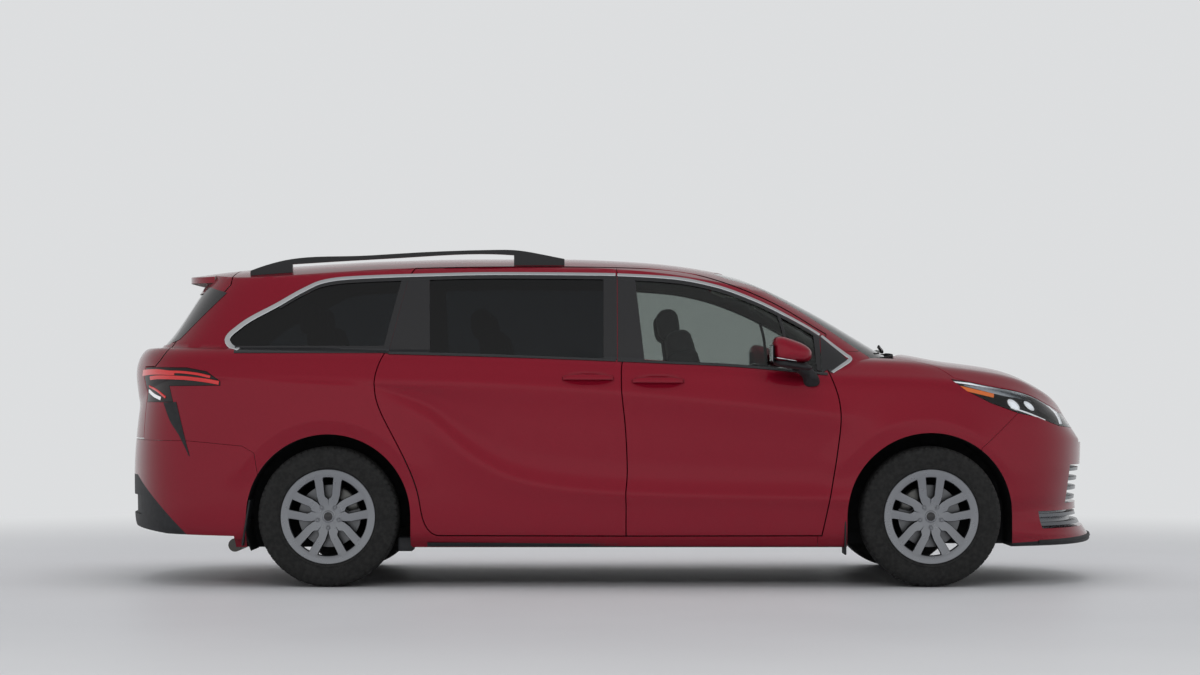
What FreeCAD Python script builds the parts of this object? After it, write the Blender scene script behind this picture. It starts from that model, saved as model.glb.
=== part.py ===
import FreeCAD, Part
import Sketcher
import math
import os

V = FreeCAD.Vector

# A family minivan, in millimetres.
# +X is forward, +Y is the left side, +Z is up. The origin lies on the ground, at the middle of
# the length and of the width. The front wheels steer, every wheel rolls, the front doors, the
# hood and the tailgate swing on hinges.
doc = FreeCAD.newDocument("Minivan")
sheet = doc.addObject("Spreadsheet::Sheet", "Sizes")
sheet_names = []


def size(name, value):
    """Write one driving dimension to the sheet and give it back."""
    sheet_names.append(name)
    cell = "B%d" % len(sheet_names)
    sheet.set("A%d" % len(sheet_names), name)
    sheet.set(cell, str(value))
    sheet.setAlias(cell, name)
    return float(value)


# Overall.
rear_overhang = size("rear_overhang", 1146)
wheelbase = size("wheelbase", 3061)
front_overhang = size("front_overhang", 970)
height = size("height", 1738)
half_width = size("half_width", 997)
track = size("track", 1725)

# Shell.
shut_gap = size("shut_gap", 6)
seam_gap = size("seam_gap", 2)
fit = size("fit", 0.3)
overrun = size("overrun", 60)
side_wall = size("side_wall", 160)
frame_wall = size("frame_wall", 46)
roof_wall = size("roof_wall", 44)
screen_wall = size("screen_wall", 62)
rear_wall = size("rear_wall", 110)
floor_top = size("floor_top", 330)
sill_bottom = size("sill_bottom", 200)
hood_wall = size("hood_wall", 34)
glass_wall = size("glass_wall", 5)
glass_inset = size("glass_inset", 4)
front_arch = size("front_arch", 425)
rear_arch = size("rear_arch", 418)
arch_depth = size("arch_depth", 462)
firewall = size("firewall", 60)

# Wheels.
tyre_radius = size("tyre_radius", 357)
tyre_width = size("tyre_width", 235)
rim_radius = size("rim_radius", 240)

length = rear_overhang + wheelbase + front_overhang
rear_axle_x = rear_overhang - length / 2
front_axle_x = rear_axle_x + wheelbase
half_length = length / 2


def along(share):
    """Place along the car: 0 and 1 are the axles, -1 the rear end and 2 the front end."""
    if share < 0:
        return rear_axle_x + share * rear_overhang
    if share <= 1:
        return rear_axle_x + share * wheelbase
    return front_axle_x + (share - 1) * front_overhang


def smooth_curve(points):
    """A smooth function through (x, y) points that never overshoots them."""
    xs = [point[0] for point in points]
    ys = [point[1] for point in points]
    spans = [b - a for a, b in zip(xs, xs[1:])]
    slopes = [(b - a) / span for a, b, span in zip(ys, ys[1:], spans)]
    tangents = [slopes[0]]
    for i in range(1, len(slopes)):
        before, after = slopes[i - 1], slopes[i]
        if before * after <= 0:
            tangents.append(0)
        else:
            first = 2 * spans[i] + spans[i - 1]
            second = spans[i] + 2 * spans[i - 1]
            tangents.append((first + second) / (first / before + second / after))
    tangents.append(slopes[-1])

    def value(x):
        if x <= xs[0]:
            return ys[0] + tangents[0] * (x - xs[0])
        if x >= xs[-1]:
            return ys[-1] + tangents[-1] * (x - xs[-1])
        i = 0
        while x > xs[i + 1]:
            i += 1
        u = (x - xs[i]) / spans[i]
        rise = 3 * u * u - 2 * u * u * u
        lead = spans[i] * (u - 2 * u * u + u * u * u)
        trail = spans[i] * (u * u * u - u * u)
        return ys[i] * (1 - rise) + ys[i + 1] * rise + tangents[i] * lead + tangents[i + 1] * trail

    return value


def line_along(shares):
    """A height along the car from (place share, height share) pairs."""
    return smooth_curve([(along(place), level * height) for place, level in shares])


belt_shares = [(-1, .692), (-.43, .689), (.1, .683), (.2, .680), (.486, .660), (.65, .648), (.83, .622),
               (1, .611), (1.2, .600), (1.378, .585), (1.5355, .5636), (1.64, .536), (1.72, .512),
               (2, .43)]
crest_shares = [(-1, .45), (-.7, .565), (0, .552), (.08, .538), (.167, .480), (.236, .385), (.30, .325),
                (.385, .292), (.5, .276), (.83, .262), (1, .258), (2, .27)]
shoulder_shares = [(-1, .612), (-.7, .616), (.08, .598), (.49, .564), (.62, .542), (.9, .489),
                   (1.0, .478), (1.3, .455), (2, .415)]
hood_shares = [(0, .700), (.9, .695), (.97, .6885), (1.09, .6695), (1.26, .6575), (1.41, .645),
               (1.52, .628), (1.59, .611), (1.69, .588), (1.78, .552), (1.85, .513), (1.95, .45)]
roof_shares = [(-1.1, .885), (-.80, .915), (-.545, .9396), (-.443, .947), (-.115, .9635), (.093, .976),
               (.24, .9815), (.385, .9815), (.476, .976), (.549, .9675), (.625, .9500), (.652, .9410),
               (.719, .9100), (.80, .850), (1, .66)]
belt_at = line_along(belt_shares)
crest_at = line_along(crest_shares)
shoulder_at = line_along(shoulder_shares)
hood_at = line_along(hood_shares)
roof_at = line_along(roof_shares)


def level(share):
    """A constant height."""
    return lambda x: share * height


def between(low, high, share):
    """A height line part of the way from one line to another."""
    return lambda x: low(x) + (high(x) - low(x)) * share


def offset_line(line, share):
    """A height line moved up by a share of the height."""
    return lambda x: line(x) + share * height


# Plan outline of one row: a superellipse for each end, with its exponents.
lower_powers = {"side": (8, 12), "end": (2.2, 2.0)}
upper_powers = {"side": (8, 14), "end": (2.5, 2.5)}
side_place_shares = [.90, .86, .81, .76, .71, .66, .61, .56, .51, .46, .41, .36, .31, .26, .21, .16,
                     .11, .05, 0]
end_place_shares = [0, .12, .24, .36, .47, .57, .66, .73, .79]


def plan_row(width, front, rear, powers):
    """Points (x, y) of one row, from the middle of the nose round the left side to the tail."""
    side_power, end_power = powers["side"][0], powers["end"][0]
    points = []
    for share in end_place_shares:
        points.append((front * (1 - share ** end_power) ** (1 / side_power), share * width))
    limit = points[-1][0] / front
    for share in side_place_shares:
        if share < limit:
            points.append((front * share, width * (1 - share ** side_power) ** (1 / end_power)))
    side_power, end_power = powers["side"][1], powers["end"][1]
    tail = [(-rear * (1 - share ** end_power) ** (1 / side_power), share * width)
            for share in end_place_shares]
    limit = -tail[-1][0] / rear
    for share in side_place_shares[-2::-1]:
        if share < limit:
            points.append((-rear * share, width * (1 - share ** side_power) ** (1 / end_power)))
    return points + tail[::-1]


def swell(x, centre, reach):
    """A smooth bump of height 1 round one place along the car."""
    return math.exp(-((x - centre) / reach) ** 2)


flare = size("flare", 14)
valley = size("valley", 20)
flare_reach = size("flare_reach", 430)


def arch_flare(x):
    return flare * (swell(x, front_axle_x, flare_reach) + swell(x, rear_axle_x, flare_reach))


def door_valley(x):
    rise = max(0, min(1, (x - along(.03)) / (along(.2) - along(.03))))
    fall = max(0, min(1, (along(.96) - x) / (along(.96) - along(.80))))
    return valley * rise * fall


def row_points(line, width, front, rear, powers, push=None):
    points = []
    for x, y in plan_row(width, front, rear, powers):
        if push and y > 0:
            y = y + push(x) * min(1, y / width / .7)
        points.append(V(x, y, line(x)))
    return points


def respace(grid, count):
    """The same rows blended into evenly spaced ones, so that the skin through them lies calm."""
    places = [0]
    for low, high in zip(grid, grid[1:]):
        steps = [a.distanceToPoint(b) for a, b in zip(low, high)]
        places.append(places[-1] + sum(steps) / len(steps))
    columns = []
    for column in zip(*grid):
        curves = [smooth_curve([(place, point[axis]) for place, point in zip(places, column)])
                  for axis in range(3)]
        columns.append([V(*[curve(places[-1] * i / (count - 1)) for curve in curves])
                        for i in range(count)])
    return [list(row) for row in zip(*columns)]


def skin(grid):
    surface = Part.BSplineSurface()
    surface.interpolate(grid)
    return surface.toShape()


def planar(edges):
    return Part.Face(Part.Wire(Part.__sortEdges__(edges)))


def closed_half(grid, flat_top):
    """A solid left half: the skin, the middle plane, the bottom and, if flat, the top."""
    face = skin(grid)
    bottom_row, top_row = grid[0], grid[-1]

    def edge_between(first, last):
        for edge in face.Edges:
            ends = [vertex.Point for vertex in edge.Vertexes]
            if len(ends) == 2:
                if ends[0].isEqual(first, 1e-4) and ends[1].isEqual(last, 1e-4):
                    return edge
                if ends[1].isEqual(first, 1e-4) and ends[0].isEqual(last, 1e-4):
                    return edge
        raise ValueError("no edge")

    nose = edge_between(bottom_row[0], top_row[0])
    tail = edge_between(bottom_row[-1], top_row[-1])
    bottom = edge_between(bottom_row[0], bottom_row[-1])
    top = edge_between(top_row[0], top_row[-1])
    low_line = Part.makeLine(bottom_row[0], bottom_row[-1])
    faces = [face, planar([bottom, low_line])]
    if flat_top:
        high_line = Part.makeLine(top_row[0], top_row[-1])
        faces.append(planar([top, high_line]))
        faces.append(planar([nose, high_line, tail, low_line]))
    else:
        faces.append(planar([nose, top, tail, low_line]))
    walls = Part.makeCompound(faces)
    walls.sewShape()
    solid = Part.makeSolid(walls.Shells[0])
    if solid.Volume < 0:
        solid.reverse()
    return solid


# Rows of the lower body: height line, half-width share, nose and tail reach shares, flare, valley.
lower_row_shares = [
    (level(.115), .918, .975, .940, 0, 0),
    (level(.134), .943, .987, .960, 0, 0),
    (level(.150), .955, .983, .975, 0, 0),
    (level(.190), .964, .966, .986, .3, 0),
    (between(level(.190), crest_at, .5), .970, .960, .988, .6, 0),
    (crest_at, .980, .963, .981, 1, 0),
    (offset_line(crest_at, .035), .982, .966, .977, .8, 1),
    (between(offset_line(crest_at, .035), shoulder_at, .5), .984, .971, .980, .4, .8),
    (shoulder_at, .984, .972, .984, 0, 0),
    (between(shoulder_at, offset_line(belt_at, -.028), .5), .974, .970, .984, 0, 0),
    (offset_line(belt_at, -.028), .957, .964, .979, 0, 0),
    (offset_line(belt_at, -.006), .940, .951, .975, 0, 0),
    (offset_line(belt_at, .007), .908, .942, .967, 0, 0),
    (between(offset_line(belt_at, .012), hood_at, .34), .850, .934, .955, 0, 0),
    (between(offset_line(belt_at, .012), hood_at, .68), .700, .912, .944, 0, 0),
    (between(offset_line(belt_at, .012), hood_at, .90), .450, .881, .937, 0, 0),
    (between(offset_line(belt_at, .012), hood_at, .985), .200, .845, .933, 0, 0),
    (hood_at, 0, .804, .930, 0, 0),
]
# Rows of the upper body: height, half-width, windscreen and tail reach shares.
upper_row_shares = [
    (.600, .928, .655, .930), (.640, .911, .612, .936), (.670, .896, .580, .940),
    (.700, .883, .545, .930), (.745, .862, .495, .906), (.795, .836, .4385, .883),
    (.845, .806, .3755, .862), (.880, .782, .3265, .847), (.905, .760, .284, .836),
    (.925, .735, .250, .829), (.945, .700, .215, .822), (.965, .652, .180, .815),
    (.985, .592, .140, .807), (1.005, .530, .100, .800),
]


def lower_grid():
    grid = []
    for line, wide, front, rear, flared, hollow in lower_row_shares:
        push = lambda x, a=flared, b=hollow: a * arch_flare(x) - b * door_valley(x)
        if wide == 0:
            front_x, rear_x = front * half_length, rear * half_length
            places = [x for x, y in plan_row(half_width, front_x, rear_x, lower_powers)]
            grid.append([V(x, 0, line(x)) for x in places])
        else:
            grid.append(row_points(line, wide * half_width, front * half_length, rear * half_length,
                                   lower_powers, push))
    return grid


def upper_grid(side_in, front_in, rear_in):
    grid = []
    for high, wide, front, rear in upper_row_shares:
        grid.append(row_points(level(high), wide * half_width - side_in, front * half_length - front_in,
                               rear * half_length - rear_in, upper_powers))
    return grid


roof_crown = size("roof_crown", 54)
roof_crown_width = size("roof_crown_width", 640)
roof_crown_power = 2.4


def roof_solid(drop):
    """Everything below the crowned roof, lowered by drop."""
    grid = []
    for i in range(25):
        x = along(-1.1) + (along(.95) - along(-1.1)) * i / 24
        row = []
        for j in range(9):
            y = half_width * j / 8 * 1.05
            row.append(V(x, y, roof_at(x) - drop - roof_crown * (y / roof_crown_width) ** roof_crown_power))
        grid.append(row)
    return skin(grid).extrude(V(0, 0, -height))


spoiler_wall = size("spoiler_wall", 32)
spoiler_reach_share = .874
spoiler_width_share = .630
spoiler_start_share = -.555


def spoiler_room():
    """The roof carried on past the rear window, rounded at its corners seen from above."""
    base = .86 * height
    row = row_points(level(.86), spoiler_width_share * half_width, .5 * half_length,
                     spoiler_reach_share * half_length, upper_powers)
    curve = Part.BSplineCurve()
    curve.interpolate(row)
    plan = Part.Face(Part.Wire([curve.toShape(), Part.makeLine(row[-1], row[0])]))
    room = plan.extrude(V(0, 0, .14 * height))
    tail = Part.makeBox(half_length, half_width, height, V(along(spoiler_start_share) - half_length, 0, 0))
    return room.common(tail).cut(roof_solid(spoiler_wall))


row_count = 26
lower = closed_half(respace(lower_grid(), row_count), False)
upper = closed_half(respace(upper_grid(0, 0, 0), row_count), True).fuse(spoiler_room())
upper = upper.common(roof_solid(0))
print("lower", lower.isValid(), lower.Volume, "upper", upper.isValid(), upper.Volume)


# Solids that bound the walls: the cabin, the engine bay, the wheelhouses and the skins of the glass.
cabin_low_shares = [(.30, .500, .950), (.45, .490, .948), (.58, .500, .945), (.62, .515, .940)]


def cabin_solid(grow):
    """The cabin's room, inside its walls, made smaller by grow on every side."""
    grid = []
    low = half_width - side_wall - grow
    grid.append(row_points(lambda x: floor_top + grow, low, .44 * half_length - grow,
                           .945 * half_length - grow, upper_powers))
    for high, front, rear in cabin_low_shares:
        grid.append(row_points(level(high), low, front * half_length - grow,
                               rear * half_length - grow, upper_powers))
    for high, wide, front, rear in upper_row_shares[2:]:
        grid.append(row_points(level(high), wide * half_width - frame_wall - grow,
                               front * half_length - screen_wall - grow,
                               rear * half_length - frame_wall - grow, upper_powers))
    return closed_half(respace(grid, row_count), True).common(roof_solid(roof_wall + grow))


def upper_skin(inset):
    """The upper body's outer form, moved inward by inset on every side."""
    steep = 2.0
    grid = respace(upper_grid(inset, inset * steep, inset * steep), row_count)
    return closed_half(grid, True).common(roof_solid(inset))


def block(x_from, x_to, y_from, y_to, z_from, z_to):
    return Part.makeBox(x_to - x_from, y_to - y_from, z_to - z_from, V(x_from, y_from, z_from))


def wheelhouse(x, radius):
    start = half_width - arch_depth
    drum = Part.makeCylinder(radius, arch_depth + overrun, V(x, start, tyre_radius), V(0, 1, 0))
    below = block(x - radius, x + radius, start, half_width + overrun, -overrun, tyre_radius)
    return drum.fuse(below)


def side_width(z):
    """Half width of the outer skin at the middle of the car."""
    return side_width_curve(z)


side_width_curve = smooth_curve([(share * height, wide * half_width) for share, wide in
                                 [(0, .94), (.15, .955), (.3, .978), (.56, .984), (.63, .965),
                                  (.67, .91), (.70, .883), (.795, .836), (.88, .782), (.945, .70),
                                  (1.0, .55)]])


def outline_edges(groups, place):
    """One edge for each group of (x, z) points: a line through two, a smooth curve through more."""
    edges = []
    for group in groups:
        points = [place(x, z) for x, z in group]
        if len(points) == 2:
            edges.append(Part.makeLine(points[0], points[1]))
        else:
            curve = Part.BSplineCurve()
            curve.interpolate(points)
            edges.append(curve.toShape())
    return edges


def to_lengths(groups):
    return [[(along(place), share * height) for place, share in group] for group in groups]


def grown(groups, distance):
    """The outline moved outward by distance, its corners kept."""
    sides = []
    area = 0
    loop = [point for group in groups for point in group[:-1]]
    for (x0, z0), (x1, z1) in zip(loop, loop[1:] + loop[:1]):
        area += x0 * z1 - x1 * z0
    turn = 1 if area > 0 else -1
    for group in groups:
        moved = []
        for i in range(len(group)):
            before = group[max(i - 1, 0)]
            after = group[min(i + 1, len(group) - 1)]
            run = math.hypot(after[0] - before[0], after[1] - before[1])
            nx = (after[1] - before[1]) / run * turn
            nz = -(after[0] - before[0]) / run * turn
            moved.append((group[i][0] + nx * distance, group[i][1] + nz * distance))
        sides.append(moved)
    for first, second in zip(sides, sides[1:] + sides[:1]):
        corner = crossing(first[-2], first[-1], second[0], second[1])
        first[-1] = corner
        second[0] = corner
    return sides


def crossing(a, b, c, d):
    """Where the line a-b meets the line c-d."""
    dx1, dz1 = b[0] - a[0], b[1] - a[1]
    dx2, dz2 = d[0] - c[0], d[1] - c[1]
    det = dx1 * dz2 - dz1 * dx2
    if abs(det) < 1e-9 * (abs(dx1) + abs(dz1)) * (abs(dx2) + abs(dz2)) or det == 0:
        return b
    u = ((c[0] - a[0]) * dz2 - (c[1] - a[1]) * dx2) / det
    return (a[0] + u * dx1, a[1] + u * dz1)


def side_prism(groups, y_from, y_to):
    """An outline seen from the side, pushed from y_from to y_to."""
    edges = outline_edges(groups, lambda x, z: V(x, y_from, z))
    return Part.Face(Part.Wire(edges)).extrude(V(0, y_to - y_from, 0))


shut_slant = .34


def slanted_prism(groups, y_from, y_to, still_x, moved_x):
    """A side outline whose edge at moved_x leans forward on its way in, so that a door clears it."""
    def place(y):
        def at(x, z):
            factor = max(0, min(1, (still_x - x) / (still_x - moved_x)))
            return V(x + factor * shut_slant * (side_width(z) - y), y, z)
        return at
    wires = [Part.Wire(outline_edges(groups, place(y))) for y in (y_from, y_to)]
    return Part.makeLoft(wires, True, True)


def plan_prism(points, z_from, z_to, lean):
    """A plan outline of (x, y, z) surface points, pushed along the lean from z_from to z_to."""
    groups = [[V(x + lean * (z_to - z), y, z_to) for x, y, z in group] for group in points]
    edges = []
    for group in groups:
        if len(group) == 2:
            edges.append(Part.makeLine(group[0], group[1]))
        else:
            curve = Part.BSplineCurve()
            curve.interpolate(group)
            edges.append(curve.toShape())
    return Part.Face(Part.Wire(edges)).extrude(V(-lean * (z_to - z_from), 0, z_from - z_to))


# Shut lines and openings seen from the side, as (place share, height share), each group one edge.
door_top_shares = [(.4769, .941), (.55, .936), (.60, .9245), (.65, .9015), (.71, .862), (.772, .806),
                   (.8199, .7535), (.832, .741)]
door_front_shares = [(.832, .741), (.8338, .6212), (.8448, .5677), (.8506, .4893), (.8471, .4209),
                     (.8323, .2589), (.8191, .1492)]
door_bottom_shares = [(.8191, .1492), (.4942, .1484)]
door_rear_shares = [(.4942, .1484), (.4908, .4905), (.4887, .6576), (.4814, .9173), (.4769, .941)]
slide_front_step = .001
slide_front_shares = [(place + slide_front_step, high) for place, high in door_rear_shares[::-1]]
slide_top_shares = [(.1396, .938), (.25, .942), (.36, .943), slide_front_shares[0]]
slide_bottom_shares = [slide_front_shares[-1], (.187, .1498)]
slide_rear_shares = [(.187, .1498), (.1721, .1571), (.162, .1791), (.1505, .2536), (.1289, .3636),
                     (.1020, .4589), (.0795, .5548), (.0783, .6142), (.0954, .6822), (.1306, .9143),
                     (.1396, .938)]
front_glass_shares = [[(.5074, .905), (.58, .896), (.6445, .8735), (.7086, .8335), (.7720, .779),
                       (.816, .7325)],
                      [(.816, .7325), (.8255, .6245)],
                      [(.8255, .6245), (.6546, .6500), (.5244, .6650)],
                      [(.5244, .6650), (.5074, .905)]]
slide_glass_shares = [[(.1640, .908), (.2824, .911), (.4572, .9087)],
                      [(.4572, .9087), (.4572, .6680)],
                      [(.4572, .6680), (.3100, .6770), (.1667, .6840)],
                      [(.1667, .6840), (.1640, .908)]]
quarter_glass_shares = [[(-.0471, .887), (.04, .897), (.1185, .9025)],
                        [(.1185, .9025), (.0895, .6900)],
                        [(.0895, .6900), (-.15, .698), (-.4250, .7040)],
                        [(-.4250, .7040), (-.4600, .7240), (-.4176, .7560), (-.2379, .8230),
                         (-.0471, .887)]]
tailgate_edge_shares = [(-.447, 1.02), (-.4642, .8905), (-.4892, .8707), (-.7115, .7240),
                        (-.7700, .6647), (-.7969, .6454), (-1.2, .6454), (-1.2, 1.02)]
lamp_front_shares = [(1.1158, .6067), (1.1991, .6008), (1.3779, .5860), (1.5355, .5656),
                     (1.6395, .5380), (1.73, .509), (1.92, .492), (1.92, .455), (1.7191, .4690),
                     (1.6555, .4809), (1.5865, .4957), (1.4724, .5075), (1.3254, .5363),
                     (1.1991, .5715)]
lamp_rear_shares = [(-.8245, .6433), (-.6367, .6412), (-.5429, .6297), (-.4803, .6008),
                    (-.4803, .5885), (-.7208, .5873), (-.7020, .5401), (-1.15, .5401), (-1.15, .6433)]
front_bumper_shares = [(1.4724, .5075), (1.3258, .4314), (1.2700, .4050), (1.2400, .05), (2.2, .05),
                       (2.2, .56), (1.60, .56)]
rear_bumper_shares = [(-1.2, .4290), (-.6259, .4260), (-.3812, .4113), (-.3274, .3908), (-.2500, .05),
                      (-1.2, .05)]


def closed_polygon(shares):
    points = [(along(place), share * height) for place, share in shares]
    return [[a, b] for a, b in zip(points, points[1:] + points[:1])]


door_groups = to_lengths([door_top_shares, door_front_shares, door_bottom_shares, door_rear_shares])
slide_groups = to_lengths([slide_top_shares, slide_front_shares, slide_bottom_shares,
                           slide_rear_shares])

door_inner = size("door_inner", 780)
cant_inner = size("cant_inner", 560)


def cabin_core(grow):
    """The space that no door reaches into, from sill to roof."""
    outline = [(-overrun, -overrun), (door_inner + grow, -overrun),
               (door_inner + grow, .58 * height), (cant_inner + grow, 1.1 * height),
               (-overrun, 1.1 * height)]
    wire = Part.makePolygon([V(-half_length, y, z) for y, z in outline + outline[:1]])
    return Part.Face(wire).extrude(V(length, 0, 0))


deep = .4 * half_width
wide = 1.1 * half_width


def door_space(groups, grow):
    """The room of a door: its outline grown by grow, out of the cabin's core."""
    moved = grown(groups, grow)
    prism = slanted_prism(moved, deep, wide, along(.72), along(.4942))
    return prism.cut(cabin_core(-grow))


# The hood's outline, as (place share, half-width share, height share) of points on the skin.
hood_rear_shares = [(.977, 0, .676), (.968, .35, .672), (.947, .62, .660), (.942, .72, .650)]
hood_side_shares = [(.942, .72, .650), (1.02, .80, .630), (1.1262, .880, .607)]
hood_lamp_shares = [(1.1262, .880, .607), (1.3779, .853, .5860), (1.5355, .772, .5656),
                    (1.6395, .675, .536), (1.72, .55, .515), (1.80, .35, .510), (1.835, 0, .510)]
hood_lean = .4
hood_groups = [[(along(s), y * half_width, z * height) for s, y, z in group] for group in
               (hood_rear_shares, hood_side_shares, hood_lamp_shares)]
hood_groups.append([hood_groups[2][-1], hood_groups[0][0]])


def over_middle(flat, group):
    """Points of the half outline, those on the middle plane pushed past it."""
    return [(x, -overrun if old[1] == 0 else y) for (x, y), old in zip(flat, group)]


def hood_prism(grow):
    moved = grown([[point[:2] for point in group] for group in hood_groups], grow)
    solid_groups = []
    for flat, group in zip(moved, hood_groups):
        flat = over_middle(flat, group)
        solid_groups.append([(x, y, point[2]) for (x, y), point in zip(flat, group)])
    return plan_prism(solid_groups, .4 * height, .75 * height, hood_lean)


screen_shares = [[(.6500, 0), (.6480, .40), (.6580, .56), (.6760, .600)],
                 [(.6760, .600), (.7575, .642), (.8816, .722), (.9065, .735)],
                 [(.9065, .735), (.9330, .652), (.9536, .401), (.9614, 0)],
                 [(.9614, 0), (.6500, 0)]]


def screen_prism(grow):
    groups = [[(along(s), y * half_width) for s, y in group] for group in screen_shares]
    moved = [over_middle(flat, group) for flat, group in zip(grown(groups, grow), groups)]
    return plan_prism([[(x, y, 0) for x, y in group] for group in moved], .6 * height,
                      1.02 * height, 0)


rear_glass_shares = [(0, .868), (.60, .868), (.632, .80), (.622, .712), (0, .712)]


def rear_glass_prism(grow):
    points = [(z * height, y * half_width) for y, z in rear_glass_shares]
    groups = [[a, b] for a, b in zip(points, points[1:] + points[:1])]
    groups = [over_middle(flat, group) for flat, group in zip(grown(groups, grow), groups)]
    groups = [[(y, z) for z, y in group] for group in groups]
    edges = outline_edges(groups, lambda y, z: V(-1.1 * half_length, y, z))
    return Part.Face(Part.Wire(edges)).extrude(V(.5 * half_length, 0, 0))


cabin = cabin_solid(0)
bay_low = block(along(.935), along(1.66), -overrun, half_width - arch_depth - overrun / 4, 0, .60 * height)
bay_high = block(along(.985), along(1.60), -overrun, .66 * half_width, .47 * height, .75 * height)
front_house = wheelhouse(front_axle_x, front_arch)
rear_house = wheelhouse(rear_axle_x, rear_arch)
outer = lower.fuse(upper)
# The tail rises behind the rear wheels.
tail_rise_shares = [(-1.1, .01), (-1.1, .200), (-.985, .187), (-.93, .168), (-.731, .1520),
                    (-.42, .1480), (-.395, .01)]
tail_rise = side_prism(closed_polygon(tail_rise_shares), -overrun, wide)
shell = outer.cut([cabin, bay_low, bay_high, front_house, rear_house, tail_rise])


def moved_copy(shape, x, y, z):
    copy = shape.copy()
    copy.translate(V(x, y, z))
    return copy


crumb = size("crumb", 40)


def clean(shape):
    """The shape's real solids, without the crumbs that a cut can leave."""
    solids = [solid for solid in shape.Solids if solid.Volume > crumb ** 3]
    return solids[0] if len(solids) == 1 else Part.makeCompound(solids)


half_gap = shut_gap / 2
half_seam = seam_gap / 2
pieces = {}


def take(name, inside, room):
    """Move the part of the shell inside one solid to its own piece, and clear the room round it."""
    global shell
    pieces[name] = clean(shell.common(inside))
    rest = shell.cut(room)
    if shell.Volume - rest.Volume < pieces[name].Volume:
        raise ValueError("the room of %s was not cut" % name)
    shell = rest


# The hood is a skin of its own over the bay.
hood_under = moved_copy(lower, -.6 * hood_wall, 0, -hood_wall)
hood_clear = hood_wall + shut_gap
hood_below = moved_copy(lower, -.6 * hood_clear, 0, -hood_clear)
pieces["hood"] = clean(lower.common(hood_prism(-half_gap)).cut([hood_under, upper]))
shell = shell.cut(hood_prism(half_gap).cut(hood_below))

# Screens and windows.
glass_skin = upper_skin(glass_inset).cut(upper_skin(glass_inset + glass_wall))
shell = shell.cut(screen_prism(0))
pieces["windscreen"] = clean(glass_skin.common(screen_prism(-fit)))

lamp_depth = size("lamp_depth", 130)
lamp_side_depth = size("lamp_side_depth", 110)
lamp_inner = size("lamp_inner", 440)
tail_lamp_inner = size("tail_lamp_inner", 655)


def lamp_space(shares, grow, inner, ahead):
    """A lamp's room: its side outline, cut off behind the lamp and towards the middle."""
    prism = side_prism(grown(closed_polygon(shares), grow), inner - grow, wide)
    core = moved_copy(lower, -(lamp_depth + grow) * ahead, -lamp_side_depth - grow, 0)
    return prism.cut(core)


take("headlamp", lamp_space(lamp_front_shares, -half_seam, lamp_inner, 1),
     lamp_space(lamp_front_shares, half_seam, lamp_inner, 1))
take("tail_lamp", lamp_space(lamp_rear_shares, -half_seam, tail_lamp_inner, -1),
     lamp_space(lamp_rear_shares, half_seam, tail_lamp_inner, -1))

gate_half = size("gate_half", 648)
gate_bottom_share = .4315


def gate_space(grow):
    upper_part = side_prism(grown(closed_polygon(tailgate_edge_shares), grow), -overrun, wide)
    lower_part = block(-1.1 * half_length, along(-.70), -overrun, gate_half + grow,
                       gate_bottom_share * height - grow, .66 * height)
    return upper_part.fuse(lower_part)


take("tailgate", gate_space(-half_gap), gate_space(half_gap))
pieces["tailgate_glass"] = clean(glass_skin.common(rear_glass_prism(-fit)))
pieces["tailgate"] = clean(pieces["tailgate"].cut(rear_glass_prism(0)))


def tail_recess(name, low_share, high_share, half, depth):
    """A shallow recess across the tail, its floor the tail's own form moved inward."""
    room = block(-half_length - overrun, along(-.75), -overrun, half, low_share * height, high_share * height)
    pieces[name] = clean(pieces[name].cut(room.cut(moved_copy(lower, depth, 0, 0))))


plate_recess_half = size("plate_recess_half", 290)
plate_recess_depth = size("plate_recess_depth", 26)
valance_half = size("valance_half", 610)
valance_depth = size("valance_depth", 15)
tail_recess("tailgate", .492, .572, plate_recess_half, plate_recess_depth)


def side_window(name, shares, carrier):
    """Cut a window into its carrier and make the pane that fills it."""
    groups = to_lengths(shares)
    pieces[name] = clean(glass_skin.common(side_prism(grown(groups, -fit), deep, wide)))
    return side_prism(groups, deep, wide)


take("front_door", door_space(door_groups, -half_gap), door_space(door_groups, half_gap))
take("sliding_door", door_space(slide_groups, -half_gap), door_space(slide_groups, half_gap))
pieces["front_door"] = clean(pieces["front_door"].cut(
    side_window("front_door_glass", front_glass_shares, "front_door")))
pieces["sliding_door"] = clean(pieces["sliding_door"].cut(
    side_window("sliding_door_glass", slide_glass_shares, "sliding_door")))
shell = shell.cut(side_window("quarter_glass", quarter_glass_shares, "body_side"))


def side_region(shares, grow):
    return side_prism(grown(closed_polygon(shares), grow), -overrun, wide)


take("front_bumper", side_region(front_bumper_shares, -half_seam),
     side_region(front_bumper_shares, half_seam))
take("rear_bumper", side_region(rear_bumper_shares, -half_seam),
     side_region(rear_bumper_shares, half_seam))

tail_recess("rear_bumper", .205, .262, valance_half, valance_depth)
roof_half = size("roof_half", 592)


def roof_space(grow):
    return block(along(-.50) - grow, along(.672) + grow, -overrun, roof_half + grow,
                 .86 * height, 1.05 * height)


take("roof", roof_space(-half_seam), roof_space(half_seam))


def under_space(grow):
    floor = block(-half_length, along(.98), -overrun, door_inner - seam_gap + grow, 0,
                  floor_top + grow)
    wall = block(along(.80), along(1.0), -overrun, .72 * half_width + grow, 0, .70 * height)
    return floor.fuse(wall)


take("underbody", under_space(-half_seam), under_space(half_seam))


def fender_space(grow):
    return block(along(.812) - grow, along(1.9), -overrun, wide, 0, .690 * height + grow)


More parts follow.
